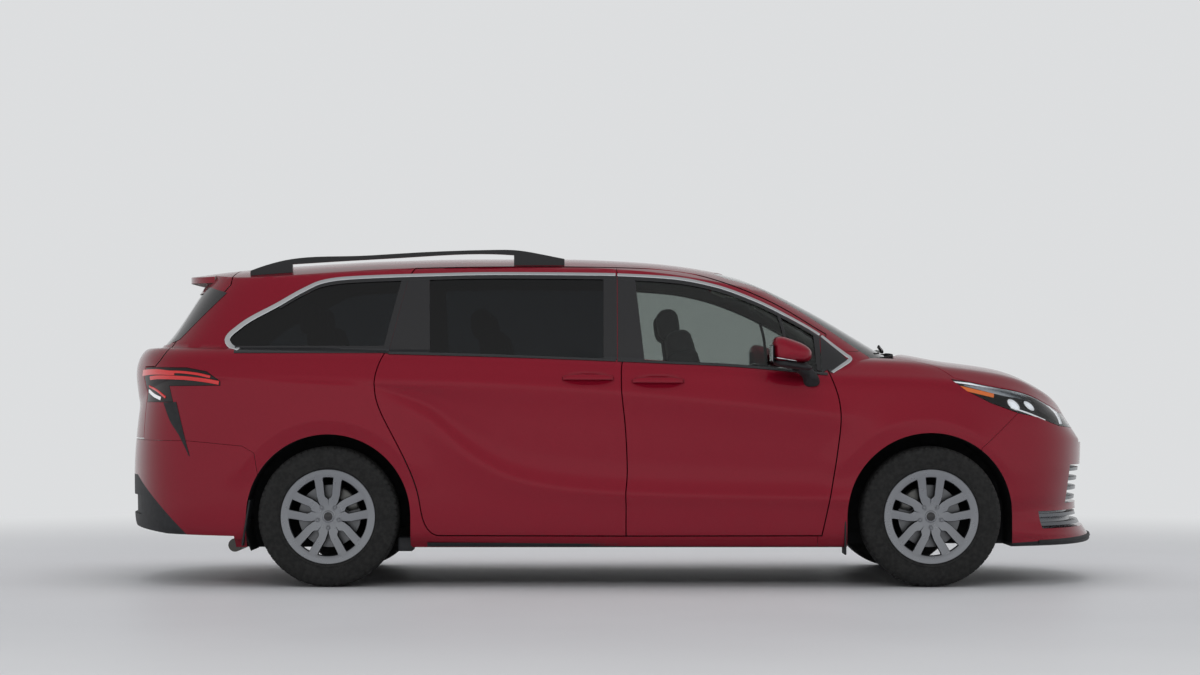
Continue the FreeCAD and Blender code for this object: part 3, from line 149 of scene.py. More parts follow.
def plan_row(width, front, rear, side, end):
    """Points of one level outline from nose to tail: |x/reach|^side + |y/width|^end = 1 at each end."""
    nose = np.stack([front * (1 - END_PLACES ** end[0]) ** (1 / side[0]), END_PLACES * width], 1)
    limit = nose[-1, 0] / front
    keep = np.array([s for s in SIDE_PLACES if s < limit])
    ahead = np.stack([front * keep, width * (1 - keep ** side[0]) ** (1 / end[0])], 1)
    tail = np.stack([-rear * (1 - END_PLACES ** end[1]) ** (1 / side[1]), END_PLACES * width], 1)
    limit = -tail[-1, 0] / rear
    keep = np.array([s for s in SIDE_PLACES[-2::-1] if s < limit])
    behind = np.stack([-rear * keep, width * (1 - keep ** side[1]) ** (1 / end[1])], 1)
    return np.concatenate([nose, ahead, behind, tail[::-1]])


def flat(share):
    """A level line at a share of the car's height."""
    return lambda x: np.full_like(x, share * HEIGHT)


def mix(low, high, share):
    """The line a share of the way from one line up to another."""
    return lambda x: low(x) + (high(x) - low(x)) * share


def raised(line, share):
    """A line moved up by a share of the car's height."""
    return lambda x: line(x) + share * HEIGHT


# Rows of the lower body: the line they follow, half width as a share of the car's, reach ahead and
# behind as shares of its half length, and shares of the bulge over the arches and the doors' hollow.
LOWER_ROWS = [
    (flat(.115), .918, .975, .940, 0, 0),
    (flat(.134), .943, .987, .960, 0, 0),
    (flat(.150), .955, .983, .975, 0, 0),
    (flat(.190), .964, .966, .986, .3, 0),
    (mix(flat(.190), crest_at, .5), .970, .960, .988, .6, 0),
    (crest_at, .980, .963, .981, 1, 0),
    (raised(crest_at, .035), .982, .966, .977, .8, 1),
    (mix(raised(crest_at, .035), shoulder_at, .5), .984, .971, .980, .4, .8),
    (shoulder_at, .984, .972, .984, 0, 0),
    (mix(shoulder_at, raised(belt_at, -.028), .5), .974, .970, .984, 0, 0),
    (raised(belt_at, -.028), .957, .964, .979, 0, 0),
    (raised(belt_at, -.006), .940, .951, .975, 0, 0),
    (raised(belt_at, .007), .908, .942, .967, 0, 0),
    (mix(raised(belt_at, .012), hood_at, .34), .850, .934, .955, 0, 0),
    (mix(raised(belt_at, .012), hood_at, .68), .700, .912, .944, 0, 0),
    (mix(raised(belt_at, .012), hood_at, .90), .450, .881, .937, 0, 0),
    (mix(raised(belt_at, .012), hood_at, .985), .200, .845, .933, 0, 0),
    (hood_at, 0, .804, .930, 0, 0),
]
# Rows of the glasshouse: shares of the height, the half width, and the half length ahead and behind.
UPPER_ROWS = [
    (.600, .928, .655, .930), (.640, .911, .612, .936), (.670, .896, .580, .940),
    (.700, .883, .545, .930), (.745, .862, .495, .906), (.795, .836, .4385, .883),
    (.845, .806, .3755, .862), (.880, .782, .3265, .847), (.905, .760, .284, .836),
    (.925, .735, .250, .829), (.945, .700, .215, .822), (.965, .652, .180, .815),
    (.985, .592, .140, .807), (1.005, .530, .100, .800),
]
# Height of the bulge, depth of the hollow and reach of the bulge, then the roof's crown c, its half
# width w and its power p.
FLARE, VALLEY, FLARE_REACH = .014, .020, .430
ROOF_CROWN, CROWN_WIDTH, CROWN_POWER = .054, .640, 2.4


def lower_rows():
    """Rows of the lower body, with the bulge over each wheel arch and the hollow along the doors."""
    rows = []
    for line, wide, front, rear, flared, hollow in LOWER_ROWS:
        row = plan_row((wide or 1) * HALF_WIDTH, front * HALF_LENGTH, rear * HALF_LENGTH,
                       (8, 12), (2.2, 2.0))
        x, y = row[:, 0], row[:, 1] * (1 if wide else 0)
        bulge = FLARE * (np.exp(-((x - FRONT_AXLE) / FLARE_REACH) ** 2)
                         + np.exp(-((x - REAR_AXLE) / FLARE_REACH) ** 2))
        dip = VALLEY * (np.clip((x - along(.03)) / (along(.2) - along(.03)), 0, 1)
                        * np.clip((along(.96) - x) / (along(.96) - along(.80)), 0, 1))
        y = y + np.where(y > 0, (flared * bulge - hollow * dip)
                         * np.minimum(1, y / max(wide, .001) / HALF_WIDTH / .7), 0)
        rows.append(np.stack([x, y, line(x)], 1))
    return np.array(rows)


def upper_rows():
    """Rows of the glasshouse."""
    rows = []
    for high, wide, front, rear in UPPER_ROWS:
        row = plan_row(wide * HALF_WIDTH, front * HALF_LENGTH, rear * HALF_LENGTH, (8, 14), (2.5, 2.5))
        rows.append(np.column_stack([row, np.full(len(row), high * HEIGHT)]))
    return np.array(rows)


def dense(rows, across=160, lengthwise=420):
    """The rows blended to 26 even ones, then splined both ways into a fine grid of points."""
    steps = np.linalg.norm(np.diff(rows, axis=0), axis=2).mean(1)
    place = np.concatenate([[0], np.cumsum(steps)])
    n = rows.shape[1]
    even = np.linspace(0, place[-1], 26)
    rows = calm_curve(place, rows.reshape(len(rows), -1), even).reshape(26, n, 3)
    fine = spline_curve(even, rows.reshape(26, -1), np.linspace(0, place[-1], across))
    fine = fine.reshape(across, n, 3)
    mean = np.concatenate([[0], np.cumsum(np.linalg.norm(np.diff(fine, axis=1), axis=2).mean(0))])
    swapped = fine.transpose(1, 0, 2).reshape(n, -1)
    long = spline_curve(mean, swapped, np.linspace(0, mean[-1], lengthwise))
    return long.reshape(lengthwise, across, 3).transpose(1, 0, 2)


# Lines of the tables and their step, the value off the form, and half the span that slopes are read over.
STEP = .005
X_LINE = np.arange(-2.60, 2.6001, STEP)
Y_LINE = np.arange(0, 1.0301, STEP)
Z_LINE = np.arange(.195, 1.7551, STEP)
OUTSIDE = -9.
SLOPE_REACH = .008


def read_along(keys, values, wanted):
    """Each row of values read at `wanted` keys by straight lines, OUTSIDE where the row doesn't reach."""
    out = np.full((len(keys), len(wanted)), OUTSIDE)
    for i, (k, v) in enumerate(zip(keys, values)):
        order = np.argsort(k, kind="stable")
        out[i] = np.interp(wanted, k[order], v[order], left=OUTSIDE, right=OUTSIDE)
    return out


def table_over(line, keys, heights, values):
    """A table of values over places on the line and Z_LINE, from rows of points."""
    z_rows, v_rows = read_along(keys, heights, line), read_along(keys, values, line)
    table = np.full((len(line), len(Z_LINE)), OUTSIDE)
    for i in range(len(line)):
        good = z_rows[:, i] > OUTSIDE / 2
        if good.sum() > 1:
            order = np.argsort(z_rows[good, i], kind="stable")
            table[i] = np.interp(Z_LINE, z_rows[good, i][order], v_rows[good, i][order],
                                 left=OUTSIDE, right=OUTSIDE)
    return table


class Form:
    """The outer form as four tables: half width over (x, z), height over (x, y), nose and tail x over
    (y, z). Each is the larger of the lower body and the glasshouse under its crowned roof."""

    def __init__(self):
        lower, upper = dense(lower_rows()), dense(upper_rows())
        sides = [table_over(X_LINE, grid[:, :, 0], grid[:, :, 2], grid[:, :, 1]) for grid in (lower, upper)]
        self.side = np.maximum(sides[0], self.under_crown(sides[1]))
        self.top = np.maximum(self.top_table(lower), self.crown_top(self.top_table(upper)))
        self.nose = np.maximum(self.end_table(lower, 1), self.end_table(upper, 1))
        self.tail = -np.maximum(self.end_table(lower, -1), self.end_table(upper, -1))

    def under_crown(self, table):
        """Half widths held under the crowned roof: y at most w ((roof - z) / c)^(1 / p)."""
        drop = np.clip(roof_at(X_LINE)[:, None] - Z_LINE[None], 0, None)
        limit = CROWN_WIDTH * (drop / ROOF_CROWN) ** (1 / CROWN_POWER)
        return np.where(roof_at(X_LINE)[:, None] < Z_LINE[None], OUTSIDE, np.minimum(table, limit))

    def top_table(self, grid):
        """Height over (x, y): the highest point met from the middle line out."""
        z_rows = read_along(grid[:, :, 0], grid[:, :, 2], X_LINE)
        y_rows = read_along(grid[:, :, 0], grid[:, :, 1], X_LINE)
        table = np.full((len(X_LINE), len(Y_LINE)), OUTSIDE)
        for i in range(len(X_LINE)):
            good = z_rows[:, i] > OUTSIDE / 2
            if good.sum() > 1:
                y, z = y_rows[good, i][::-1], z_rows[good, i][::-1]
                high = np.maximum.accumulate(z)
                order = np.argsort(y, kind="stable")
                table[i] = np.interp(Y_LINE, y[order], high[order], left=high[0], right=OUTSIDE)
        return table

    def crown_top(self, table):
        """Heights held under the crowned roof: z at most roof - c (y / w)^p."""
        crown = roof_at(X_LINE)[:, None] - ROOF_CROWN * (Y_LINE[None] / CROWN_WIDTH) ** CROWN_POWER
        return np.where(table > OUTSIDE / 2, np.minimum(table, crown), OUTSIDE)

    def end_table(self, grid, way):
        """Reach of the nose (way 1) or of the tail (way -1) over (y, z)."""
        half = grid.shape[1] // 2
        part = grid[:, :half] if way > 0 else grid[:, half:][:, ::-1]
        return table_over(Y_LINE, part[:, :, 1], part[:, :, 2], part[:, :, 0] * way)


def look_up(table, a_line, b_line, a, b):
    """The table read between its points by straight lines both ways."""
    fa = np.clip((a - a_line[0]) / STEP, 0, len(a_line) - 1.001)
    fb = np.clip((b - b_line[0]) / STEP, 0, len(b_line) - 1.001)
    i, j = fa.astype(int), fb.astype(int)
    u, v = fa - i, fb - j
    return ((1 - u) * (1 - v) * table[i, j] + u * (1 - v) * table[i + 1, j]
            + (1 - u) * v * table[i, j + 1] + u * v * table[i + 1, j + 1])


form = Form()


def side_y(x, z):
    """Half width of the skin at a place and height."""
    return look_up(form.side, X_LINE, Z_LINE, np.asarray(x, float), np.asarray(z, float))


def top_z(x, y):
    """Height of the skin from above."""
    return look_up(form.top, X_LINE, Y_LINE, np.asarray(x, float), np.abs(y))


def nose_x(y, z):
    """Place of the nose's skin."""
    return look_up(form.nose, Y_LINE, Z_LINE, np.abs(y), np.asarray(z, float))


def tail_x(y, z):
    """Place of the tail's skin."""
    return look_up(form.tail, Y_LINE, Z_LINE, np.abs(y), np.asarray(z, float))


def slope_pair(reader, a, b):
    """Slopes of a table reading both ways, by differences over 16 mm."""
    da = (reader(a + SLOPE_REACH, b) - reader(a - SLOPE_REACH, b)) / (2 * SLOPE_REACH)
    db = (reader(a, b + SLOPE_REACH) - reader(a, b - SLOPE_REACH)) / (2 * SLOPE_REACH)
    return da, db


def unit(v):
    """Vectors divided by their own lengths."""
    return v / np.maximum(np.linalg.norm(v, axis=-1, keepdims=True), 1e-12)


def ease(t, start, end):
    """Smoothstep from 0 at start to 1 at end."""
    t = np.clip((t - start) / (end - start), 0, 1)
    return t * t * (3 - 2 * t)


# Radius and height of the arch crests and how far each centre lies behind its axle, then the height of
# the shoulder's crest and the radius that rounds all three.
ARCH_RADIUS, ARCH_HIGH, ARCH_SHIFTS = .49, .0105, {FRONT_AXLE: .030, REAR_AXLE: .010}
LINE_HIGH, CREST_ROUND = .0055, .007


def crest(off, high, above, below):
    """A crest high (1 - a / above)^2 outside it and high (1 - a / below) inside, squared if below is
    under 0, where a = (off^2 + r^2)^(1/2) - r rounds its top with r = 7 mm."""
    away = np.sqrt(off ** 2 + CREST_ROUND ** 2) - CREST_ROUND
    return high * np.where(off > 0, np.clip(1 - away / above, 0, 1) ** 2,
                           np.clip(1 - away / np.abs(below), 0, 1) ** (1 if below > 0 else 2))


def pressed(x, z):
    """Height of the crests pressed in the sides: a flare round each wheel arch, its crest .49 m from
    the wheel's centre, and a shoulder line z = 1.082 - .0422 u - .0166 u (u - 1.66), u = x + 1.97."""
    total = 0.0
    for axle, shift in ARCH_SHIFTS.items():
        radius = np.hypot(x - (axle - shift), z - HUB_HEIGHT)
        total = total + crest(radius - ARCH_RADIUS, ARCH_HIGH, .14, .095) * ease(z, .48, .68)
    u = x + 1.97
    off = z - (1.082 - .0422 * u - .0166 * u * (u - 1.66))
    return total + crest(off, LINE_HIGH, .11, -.11) * ease(x, -1.95, -1.60) * ease(-x, -1.36, -1.10)


def skin_y(x, z):
    """Half width of the finished skin: the form and the crests pressed in it."""
    return side_y(x, z) + pressed(np.asarray(x, float), np.asarray(z, float))


def side_normal(x, z):
    """Outward normal of the left skin y = f(x, z): (-df/dx, 1, -df/dz), made one unit long."""
    dx, dz = slope_pair(skin_y, x, z)
    return unit(np.stack([-dx, np.ones_like(dx), -dz], -1))


def form_normal(points, normals, reach):
    """The smooth form's normal at each point, and whether the point and its face lie on the form.
    The table is chosen by the face's own main direction."""
    x, y, z = points[:, 0], np.abs(points[:, 1]), points[:, 2]
    mirror = np.where(points[:, 1] < 0, -1., 1.)
    best = np.zeros_like(points)
    good = np.zeros(len(points), bool)
    facing = np.stack([normals[:, 0], normals[:, 1] * mirror, normals[:, 2]], 1)
    main = np.argmax(np.abs(facing), axis=1)
    readings = (
        (1, skin_y, x, z, y, lambda da, db, one: np.stack([-da, one, -db], 1), 1),
        (2, top_z, x, y, z, lambda da, db, one: np.stack([-da, -db, one], 1), 1),
        (0, nose_x, y, z, x, lambda da, db, one: np.stack([one, -da, -db], 1), 1),
        (0, tail_x, y, z, x, lambda da, db, one: np.stack([-one, da, db], 1), -1),
    )
    for axis, reader, a, b, value, build, way in readings:
        pick = (main == axis) & (facing[:, axis] * way > 0)
        if not pick.any():
            continue
        off = np.abs(reader(a[pick], b[pick]) - value[pick])
        da, db = slope_pair(reader, a[pick], b[pick])
        normal = unit(build(da, db, np.ones(pick.sum())))
        near = (off < reach) & ((normal * facing[pick]).sum(1) > .8)
        best[pick] = normal
        good[pick] = near
    best[:, 1] *= mirror
    return best, good


def fitted_normal(points, normals):
    """Normals of a bowed pane, z = sum of c_ij x^i y^j with i to 3 and j of 0, 2 and 4, the c_ij found
    by least squares. They are turned to each face's own side, and the pane's edges are left out."""
    x, y = points[:, 0] - points[:, 0].mean(), points[:, 1]
    powers = [(i, j) for i in range(4) for j in (0, 2, 4)]
    basis = np.stack([x ** i * y ** j for i, j in powers], 1)
    terms = np.linalg.lstsq(basis, points[:, 2], rcond=None)[0]
    dx = sum(c * i * x ** max(i - 1, 0) * y ** j for c, (i, j) in zip(terms, powers))
    dy = sum(c * j * x ** i * y ** max(j - 1, 0) for c, (i, j) in zip(terms, powers))
    normal = unit(np.stack([-dx, -dy, np.ones(len(x))], 1))
    side = (normal * normals).sum(1)
    return normal * np.sign(side)[:, None], np.abs(side) > .8


# ---------------------------------------------------------------- meshes
def add_object(mesh):
    """An object of the mesh, at the origin and under the mesh's own name."""
    piece = bpy.data.objects.new(mesh.name, mesh)
    bpy.context.scene.collection.objects.link(piece)
    return piece


def add_mesh(name, points, faces):
    """A smooth mesh object from an array of points and lists of corner numbers."""
    mesh = bpy.data.meshes.new(name)
    mesh.from_pydata(np.asarray(points, float).reshape(-1, 3).tolist(), [], faces)
    mesh.validate()
    mesh.polygons.foreach_set("use_smooth", [True] * len(mesh.polygons))
    return add_object(mesh)


def read_all(items, name, width=3, kind=float):
    """One attribute of all of a mesh's items as an array, a row for each item."""
    values = np.zeros(len(items) * width, kind)
    items.foreach_get(name, values)
    return values.reshape(-1, width) if width > 1 else values


def grid_faces(rows, columns, close_rows=False, close_columns=False, start=0):
    """Four-cornered faces of a grid of rows by columns, closed round either way if asked, as tuples."""
    r = np.arange(rows if close_rows else rows - 1)
    c = np.arange(columns if close_columns else columns - 1)
    r, c = np.meshgrid(r, c, indexing="ij")
    a = r * columns + c
    b = r * columns + (c + 1) % columns
    d = ((r + 1) % rows) * columns + c
    e = ((r + 1) % rows) * columns + (c + 1) % columns
    return [tuple(f) for f in (np.stack([a, b, e, d], -1).reshape(-1, 4) + start).tolist()]


def tube_faces(rows, ring):
    """Faces of a row of closed rings of points, with a flat face at each end."""
    return grid_faces(rows, ring, False, True) + [tuple(range(ring))[::-1],
                                                  tuple(range((rows - 1) * ring, rows * ring))]


def finish_piece(piece, finish, body, crease=None):
    """Give a piece its finish and its body, and sharpen its edges over an angle in degrees."""
    piece.data.materials.append(finishes[finish])
    if crease:
        piece.data.set_sharp_from_angle(angle=math.radians(crease))
    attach(piece, body)
    return piece


# ---------------------------------------------------------------- finishes
def srgb(text, alpha=1.0):
    """An sRGB hex colour as the linear values that shaders take."""
    c = np.array([int(text[i:i + 2], 16) for i in (0, 2, 4)]) / 255
    c = np.where(c <= .04045, c / 12.92, ((c + .055) / 1.055) ** 2.4)
    return (*c.tolist(), alpha)


def add_node(tree, kind, settings=None, links=None):
    """Add one node. settings set its properties or sockets by name, and links give the socket that
    each input reads."""
    node = tree.nodes.new(kind)
    for key, value in (settings or {}).items():
        if hasattr(node, key):
            setattr(node, key, value)
        else:
            node.inputs[key].default_value = value
    for key, source in (links or {}).items():
        tree.links.new(source, node.inputs[key])
    return node


def new_finish(name):
    """A new material: it, its tree, and the shader that its settings go to."""
    finish = bpy.data.materials.new(name)
    finish.use_nodes = True
    finish.node_tree.nodes.clear()
    tree = finish.node_tree
    shader = add_node(tree, "ShaderNodeBsdfPrincipled")
    add_node(tree, "ShaderNodeOutputMaterial", links={"Surface": shader.outputs["BSDF"]})
    return finish, tree, shader


def show(tree, shader):
    """Put another shader on the material's surface."""
    out = next(n for n in tree.nodes if n.type == "OUTPUT_MATERIAL")
    tree.links.new(shader.outputs["Shader"], out.inputs["Surface"])


def mirror_mix(tree, under, rough, ior):
    """A shader that mirrors by the Fresnel rule and shows another under that."""
    gloss = add_node(tree, "ShaderNodeBsdfGlossy", {"Color": (1, 1, 1, 1), "Roughness": rough})
    edge = add_node(tree, "ShaderNodeFresnel", {"IOR": ior})
    return add_node(tree, "ShaderNodeMixShader", None,
                    {0: edge.outputs["Fac"], 1: under, 2: gloss.outputs["BSDF"]})


def object_place(tree, millimetres):
    """Object coordinates scaled so that one unit is that many millimetres."""
    place = add_node(tree, "ShaderNodeTexCoord")
    scale = 1000 / millimetres
    return add_node(tree, "ShaderNodeMapping", {"Scale": (scale, scale, scale)},
                    {"Vector": place.outputs["Object"]}).outputs["Vector"]


def set_shader(shader, **values):
    """Set the shader's own sockets, named in short words, to plain values."""
    names = {"colour": "Base Color", "metal": "Metallic", "rough": "Roughness", "ior": "IOR",
             "coat": "Coat Weight", "coat_ior": "Coat IOR", "coat_rough": "Coat Roughness",
             "sheen": "Sheen Weight", "sheen_rough": "Sheen Roughness", "specular": "Specular IOR Level",
             "glow": "Emission Color", "glow_strength": "Emission Strength"}
    for key, value in values.items():
        shader.inputs[names[key]].default_value = value


def add_bump(tree, shader, height, strength, depth):
    """Bend the shader's normals by a height socket, 1 of it being depth metres."""
    bump = add_node(tree, "ShaderNodeBump", {"Strength": strength, "Distance": depth}, {"Height": height})
    tree.links.new(bump.outputs["Normal"], shader.inputs["Normal"])


def grain_bump(tree, shader, millimetres, depth, detail=3.0):
    """Fine unevenness: noise with bumps that many millimetres apart, moved by depth metres."""
    noise = add_node(tree, "ShaderNodeTexNoise", {"Scale": 1.0, "Detail": detail, "Roughness": .6},
                     {"Vector": object_place(tree, millimetres)})
    add_bump(tree, shader, noise.outputs["Fac"], 1.0, depth)


def varied_rough(tree, shader, low, high, millimetres):
    """Roughness that wanders between two values over patches of that many millimetres."""
    noise = add_node(tree, "ShaderNodeTexNoise", {"Scale": 1.0, "Detail": 4.0},
                     {"Vector": object_place(tree, millimetres)})
    spread = add_node(tree, "ShaderNodeMapRange", {"To Min": low, "To Max": high},
                      {"Value": noise.outputs["Fac"]})
    tree.links.new(spread.outputs["Result"], shader.inputs["Roughness"])


def varied_colour(tree, shader, dark, light, millimetres, low=.35, high=.65):
    """Colour that wanders between two tones over patches of that many millimetres."""
    noise = add_node(tree, "ShaderNodeTexNoise", {"Scale": 1.0, "Detail": 4.0},
                     {"Vector": object_place(tree, millimetres)})
    ramp = add_node(tree, "ShaderNodeValToRGB", links={"Fac": noise.outputs["Fac"]})
    ramp.color_ramp.elements[0].position, ramp.color_ramp.elements[1].position = low, high
    ramp.color_ramp.elements[0].color, ramp.color_ramp.elements[1].color = srgb(dark), srgb(light)
    tree.links.new(ramp.outputs["Color"], shader.inputs["Base Color"])


def ruby_paint(colour):
    """Tinted clearcoat over fine aluminium flake: deep ruby, brighter where it faces the eye, darker
    at grazing angles, under a smooth glossy lacquer."""
    finish, tree, shader = new_finish("Ruby flake paint under clearcoat")
    set_shader(shader, metal=.40, rough=.38, coat=.75, coat_ior=1.42, coat_rough=.03, ior=1.45,
               specular=.10)
    # Flakes are about 0.03 mm. They are drawn 1.5 mm apart so that they show.
    flake = add_node(tree, "ShaderNodeTexVoronoi", {"Scale": 1.0}, {"Vector": object_place(tree, 1.5)})
    facing = add_node(tree, "ShaderNodeLayerWeight", {"Blend": .35})
    deep = tuple(c * .42 for c in colour[:3]) + (1.0,)
    tone = add_node(tree, "ShaderNodeMix", {"data_type": "RGBA"}, {"Factor": facing.outputs["Facing"]})
    tone.inputs[6].default_value = (*colour[:3], 1.0)
    tone.inputs[7].default_value = deep
    glint = add_node(tree, "ShaderNodeMix", {"data_type": "RGBA", "blend_type": "MULTIPLY"})
    spread = add_node(tree, "ShaderNodeMapRange", {"To Min": .86, "To Max": 1.10},
                      {"Value": flake.outputs["Color"]})
    glint.inputs[0].default_value = 1.0
    tree.links.new(tone.outputs[2], glint.inputs[6])
    tree.links.new(spread.outputs["Result"], glint.inputs[7])
    tree.links.new(glint.outputs[2], shader.inputs["Base Color"])
    return finish


def grained_black():
    """Moulded polypropylene, grained: matt near-black with a fine leather-like bump."""
    finish, tree, shader = new_finish("Grained black polypropylene")
    set_shader(shader, rough=.62, ior=1.49)
    varied_colour(tree, shader, "17181A", "222326", 30)
    grain_bump(tree, shader, 1.6, .00012)
    return finish


def satin_black():
    """Powder-coated aluminium bar: satin black with a faint orange peel."""
    finish, tree, shader = new_finish("Satin black powder coat")
    set_shader(shader, colour=srgb("151517"), rough=.33, ior=1.5)
    grain_bump(tree, shader, 3, .00003)
    return finish


def window_glass(name, tint, clear):
    """Tempered float glass, tinted in the mass: part of the light passes and the surface mirrors."""
    finish, tree, shader = new_finish(name)
    set_shader(shader, colour=srgb(tint), rough=.01, ior=1.45)
    glass = add_node(tree, "ShaderNodeBsdfTransparent", {"Color": srgb(clear)})
    body = add_node(tree, "ShaderNodeMixShader", {"Fac": .93},
                    {1: shader.outputs["BSDF"], 2: glass.outputs["BSDF"]})
    show(tree, mirror_mix(tree, body.outputs["Shader"], .012, 1.45))
    return finish


def lamp_lens():
    """Hard-coated polycarbonate: clear, a touch blue, and glossy."""
    finish, tree, shader = new_finish("Clear polycarbonate lens")
    glass = add_node(tree, "ShaderNodeBsdfTransparent", {"Color": srgb("F4F7FA")})
    set_shader(shader, colour=srgb("F4F7FA"), rough=.02, ior=1.58)
    show(tree, mirror_mix(tree, glass.outputs["BSDF"], .015, 1.5))
    return finish


def coloured_lens(name, tint, glow, strength):
    """Moulded PMMA lens, coloured in the mass, with fine level flutes pressed in its back."""
    finish, tree, shader = new_finish(name)
    set_shader(shader, colour=srgb(tint), rough=.12, ior=1.49, coat=1.0, coat_rough=.02,
               glow=srgb(glow), glow_strength=strength)
    flute = add_node(tree, "ShaderNodeTexWave", {"Scale": 1.0, "bands_direction": "Z"},
                     {"Vector": object_place(tree, 25)})
    add_bump(tree, shader, flute.outputs["Fac"], .5, .0006)
    return finish


def plain_metal(name, tone, rough_low, rough_high, patch, grain=None, depth=0, **values):
    """Bare or plated metal, or an even film: its roughness wanders, with a cast grain if one is given."""
    finish, tree, shader = new_finish(name)
    set_shader(shader, colour=srgb(tone), **{"metal": 1.0, **values})
    varied_rough(tree, shader, rough_low, rough_high, patch)
    if grain:
        grain_bump(tree, shader, grain, depth)
    return finish


def soft_plastic(name, dark, light, rough, grain=1.4, depth=.00012):
    """Moulded cabin plastic with a fine leather-like grain."""
    finish, tree, shader = new_finish(name)
    set_shader(shader, rough=rough, ior=1.47)
    varied_colour(tree, shader, dark, light, 40)
    grain_bump(tree, shader, grain, depth)
    return finish


def woven_cloth(name, dark, light, thread=2.2, sheen=.35):
    """Flat-woven cloth: its threads cross over and under, drawn 2.2 mm apart so that they show."""
    finish, tree, shader = new_finish(name)
    set_shader(shader, rough=.88, sheen=sheen, sheen_rough=.4)
    place = object_place(tree, thread)
    warp = add_node(tree, "ShaderNodeTexWave", {"Scale": .5, "bands_direction": "Y", "Distortion": .6},
                    {"Vector": place})
    weft = add_node(tree, "ShaderNodeTexWave", {"Scale": .5, "bands_direction": "Z", "Distortion": .6},
                    {"Vector": place})
    over = add_node(tree, "ShaderNodeMath", {"operation": "MAXIMUM"},
                    {0: warp.outputs["Fac"], 1: weft.outputs["Fac"]})
    varied_colour(tree, shader, dark, light, 7, .3, .7)
    add_bump(tree, shader, over.outputs["Value"], .7, .0004)
    return finish


def tyre_rubber():
    """Carbon-black rubber, moulded: dull grey-black whose tone wanders a little at random."""
    finish, tree, shader = new_finish("Moulded tyre rubber")
    set_shader(shader, rough=.74, ior=1.52, specular=.35)
    varied_colour(tree, shader, "161616", "252524", 18)
    grain_bump(tree, shader, 2.2, .00016, 5.0)
    return finish


finishes = {}


def make_finishes(colours):
    """Every finish by its short name."""
    finishes.update({
        "paint": ruby_paint(colours.paint),
        "gloss_black": plain_metal("Gloss black PMMA film", "1B1B1D", .07, .14, 60, metal=0, ior=1.49,
                                   coat=.5, coat_rough=.03),
        "grained": grained_black(),
        "satin": satin_black(),
        "chrome": plain_metal("Bright chrome plate", "E4E6E8", .06, .12, 80),
        "clear_glass": window_glass("Float glass", "0E1112", "DADEDC"),
        "screen_glass": window_glass("Laminated screen glass", "0E1213", "DFE5E2"),
        "dark_glass": window_glass("Privacy glass", "060708", "8A9094"),
        "lens": lamp_lens(),
        "red_lens": coloured_lens("Red PMMA lens", "9A0A12", "FF2018", .25),
        "white_lens": coloured_lens("White PMMA lens", "D8DADC", "FFFFFF", .25),
        "amber_lens": coloured_lens("Amber PMMA lens", "D9660C", "FF8A10", .25),
        "lamp_white": coloured_lens("Frosted light guide", "EEF1F4", "FFFFFF", .35),
        "smoked_lens": soft_plastic("Smoked PMMA lens", "100A0B", "180C0E", .08, 60, .00001),
        "dark_chrome": plain_metal("Dark satin chrome plate", "6A6C70", .2, .32, 40),
        "reflector": plain_metal("Aluminised reflector", "D6D9DC", .10, .22, 30),
        "lamp_black": soft_plastic("Lamp housing plastic", "0E0F11", "191A1C", .45),
        "alloy": plain_metal("Turned aluminium under lacquer", "8E9094", .24, .33, 40, coat=.35,
                             coat_rough=.06),
        "alloy_pocket": plain_metal("Grey painted alloy casting", "4A4C50", .42, .55, 30, 2, .00004),
        "disc": plain_metal("Ground iron brake disc", "77787A", .28, .42, 25),
        "iron": plain_metal("Sand-cast iron", "2B2A29", .6, .8, 12, 3, .0003),
        "steel": plain_metal("Zinc-plated steel", "8A8C90", .3, .45, 20),
        "under": soft_plastic("Underbody coating", "101112", "1D1E20", .8, 4, .0004),
        "exhaust": plain_metal("Aluminised steel tube", "7C7A76", .35, .6, 30, 6, .0001),
        "tyre": tyre_rubber(),
        "cloth": woven_cloth("Woven grey seat cloth", "2C2C2F", "3B3B3F"),
        "bolster": soft_plastic("Grey coated seat fabric", "222225", "2C2C30", .6, 2.0, .0002),
        "cabin": soft_plastic("Grained cabin plastic", "151517", "1E1E21", .66),
        "liner": woven_cloth("Knitted roof lining", "8A8780", "9A978F", 1.6, .2),
        "calliper": plain_metal("Zinc-flake coated iron", "8B8B88", .45, .6, 14, 3, .00015),
        "plate": soft_plastic("Blank white enamel plate", "C9CBCC", "D4D6D7", .4, 6, .00002),
    })


# ---------------------------------------------------------------- panels that keep the solid's own shape
def inner_finish(centres, normals, seen):
    """Number of each face's finish: 0 outside, 1 cabin trim, 2 lining above the belt, 3 the coating in
    the wheel arches. Inner faces look towards the car's middle line."""
    x, y, z = centres.T
    out = unit(np.stack([np.sign(x) * np.clip(np.abs(x) - 1.9, 0, None) * 2, y,
                         np.clip(z - .9, 0, None) * 1.2], 1))
    number = np.where(~seen & ((out * normals).sum(1) < -.3), np.where(z > 1.13, 2, 1), 0)
    for axle in (REAR_AXLE, FRONT_AXLE):
        radius = np.hypot(x - axle, z - HUB_HEIGHT)
        number = np.where(~seen & (radius < .50) & (np.abs(y) < side_y(x, np.clip(z, .21, 2)) - .012), 3,
                          number)
    return number


# Most that a corner may stand off the form, longest sides near and far from the crests, and the
# height and half width that bound the sides.
ON_SKIN, NEAR_SIDE, FAR_SIDE, SIDE_TOP, SIDE_INNER = .0022, .019, .12, 1.20, .62


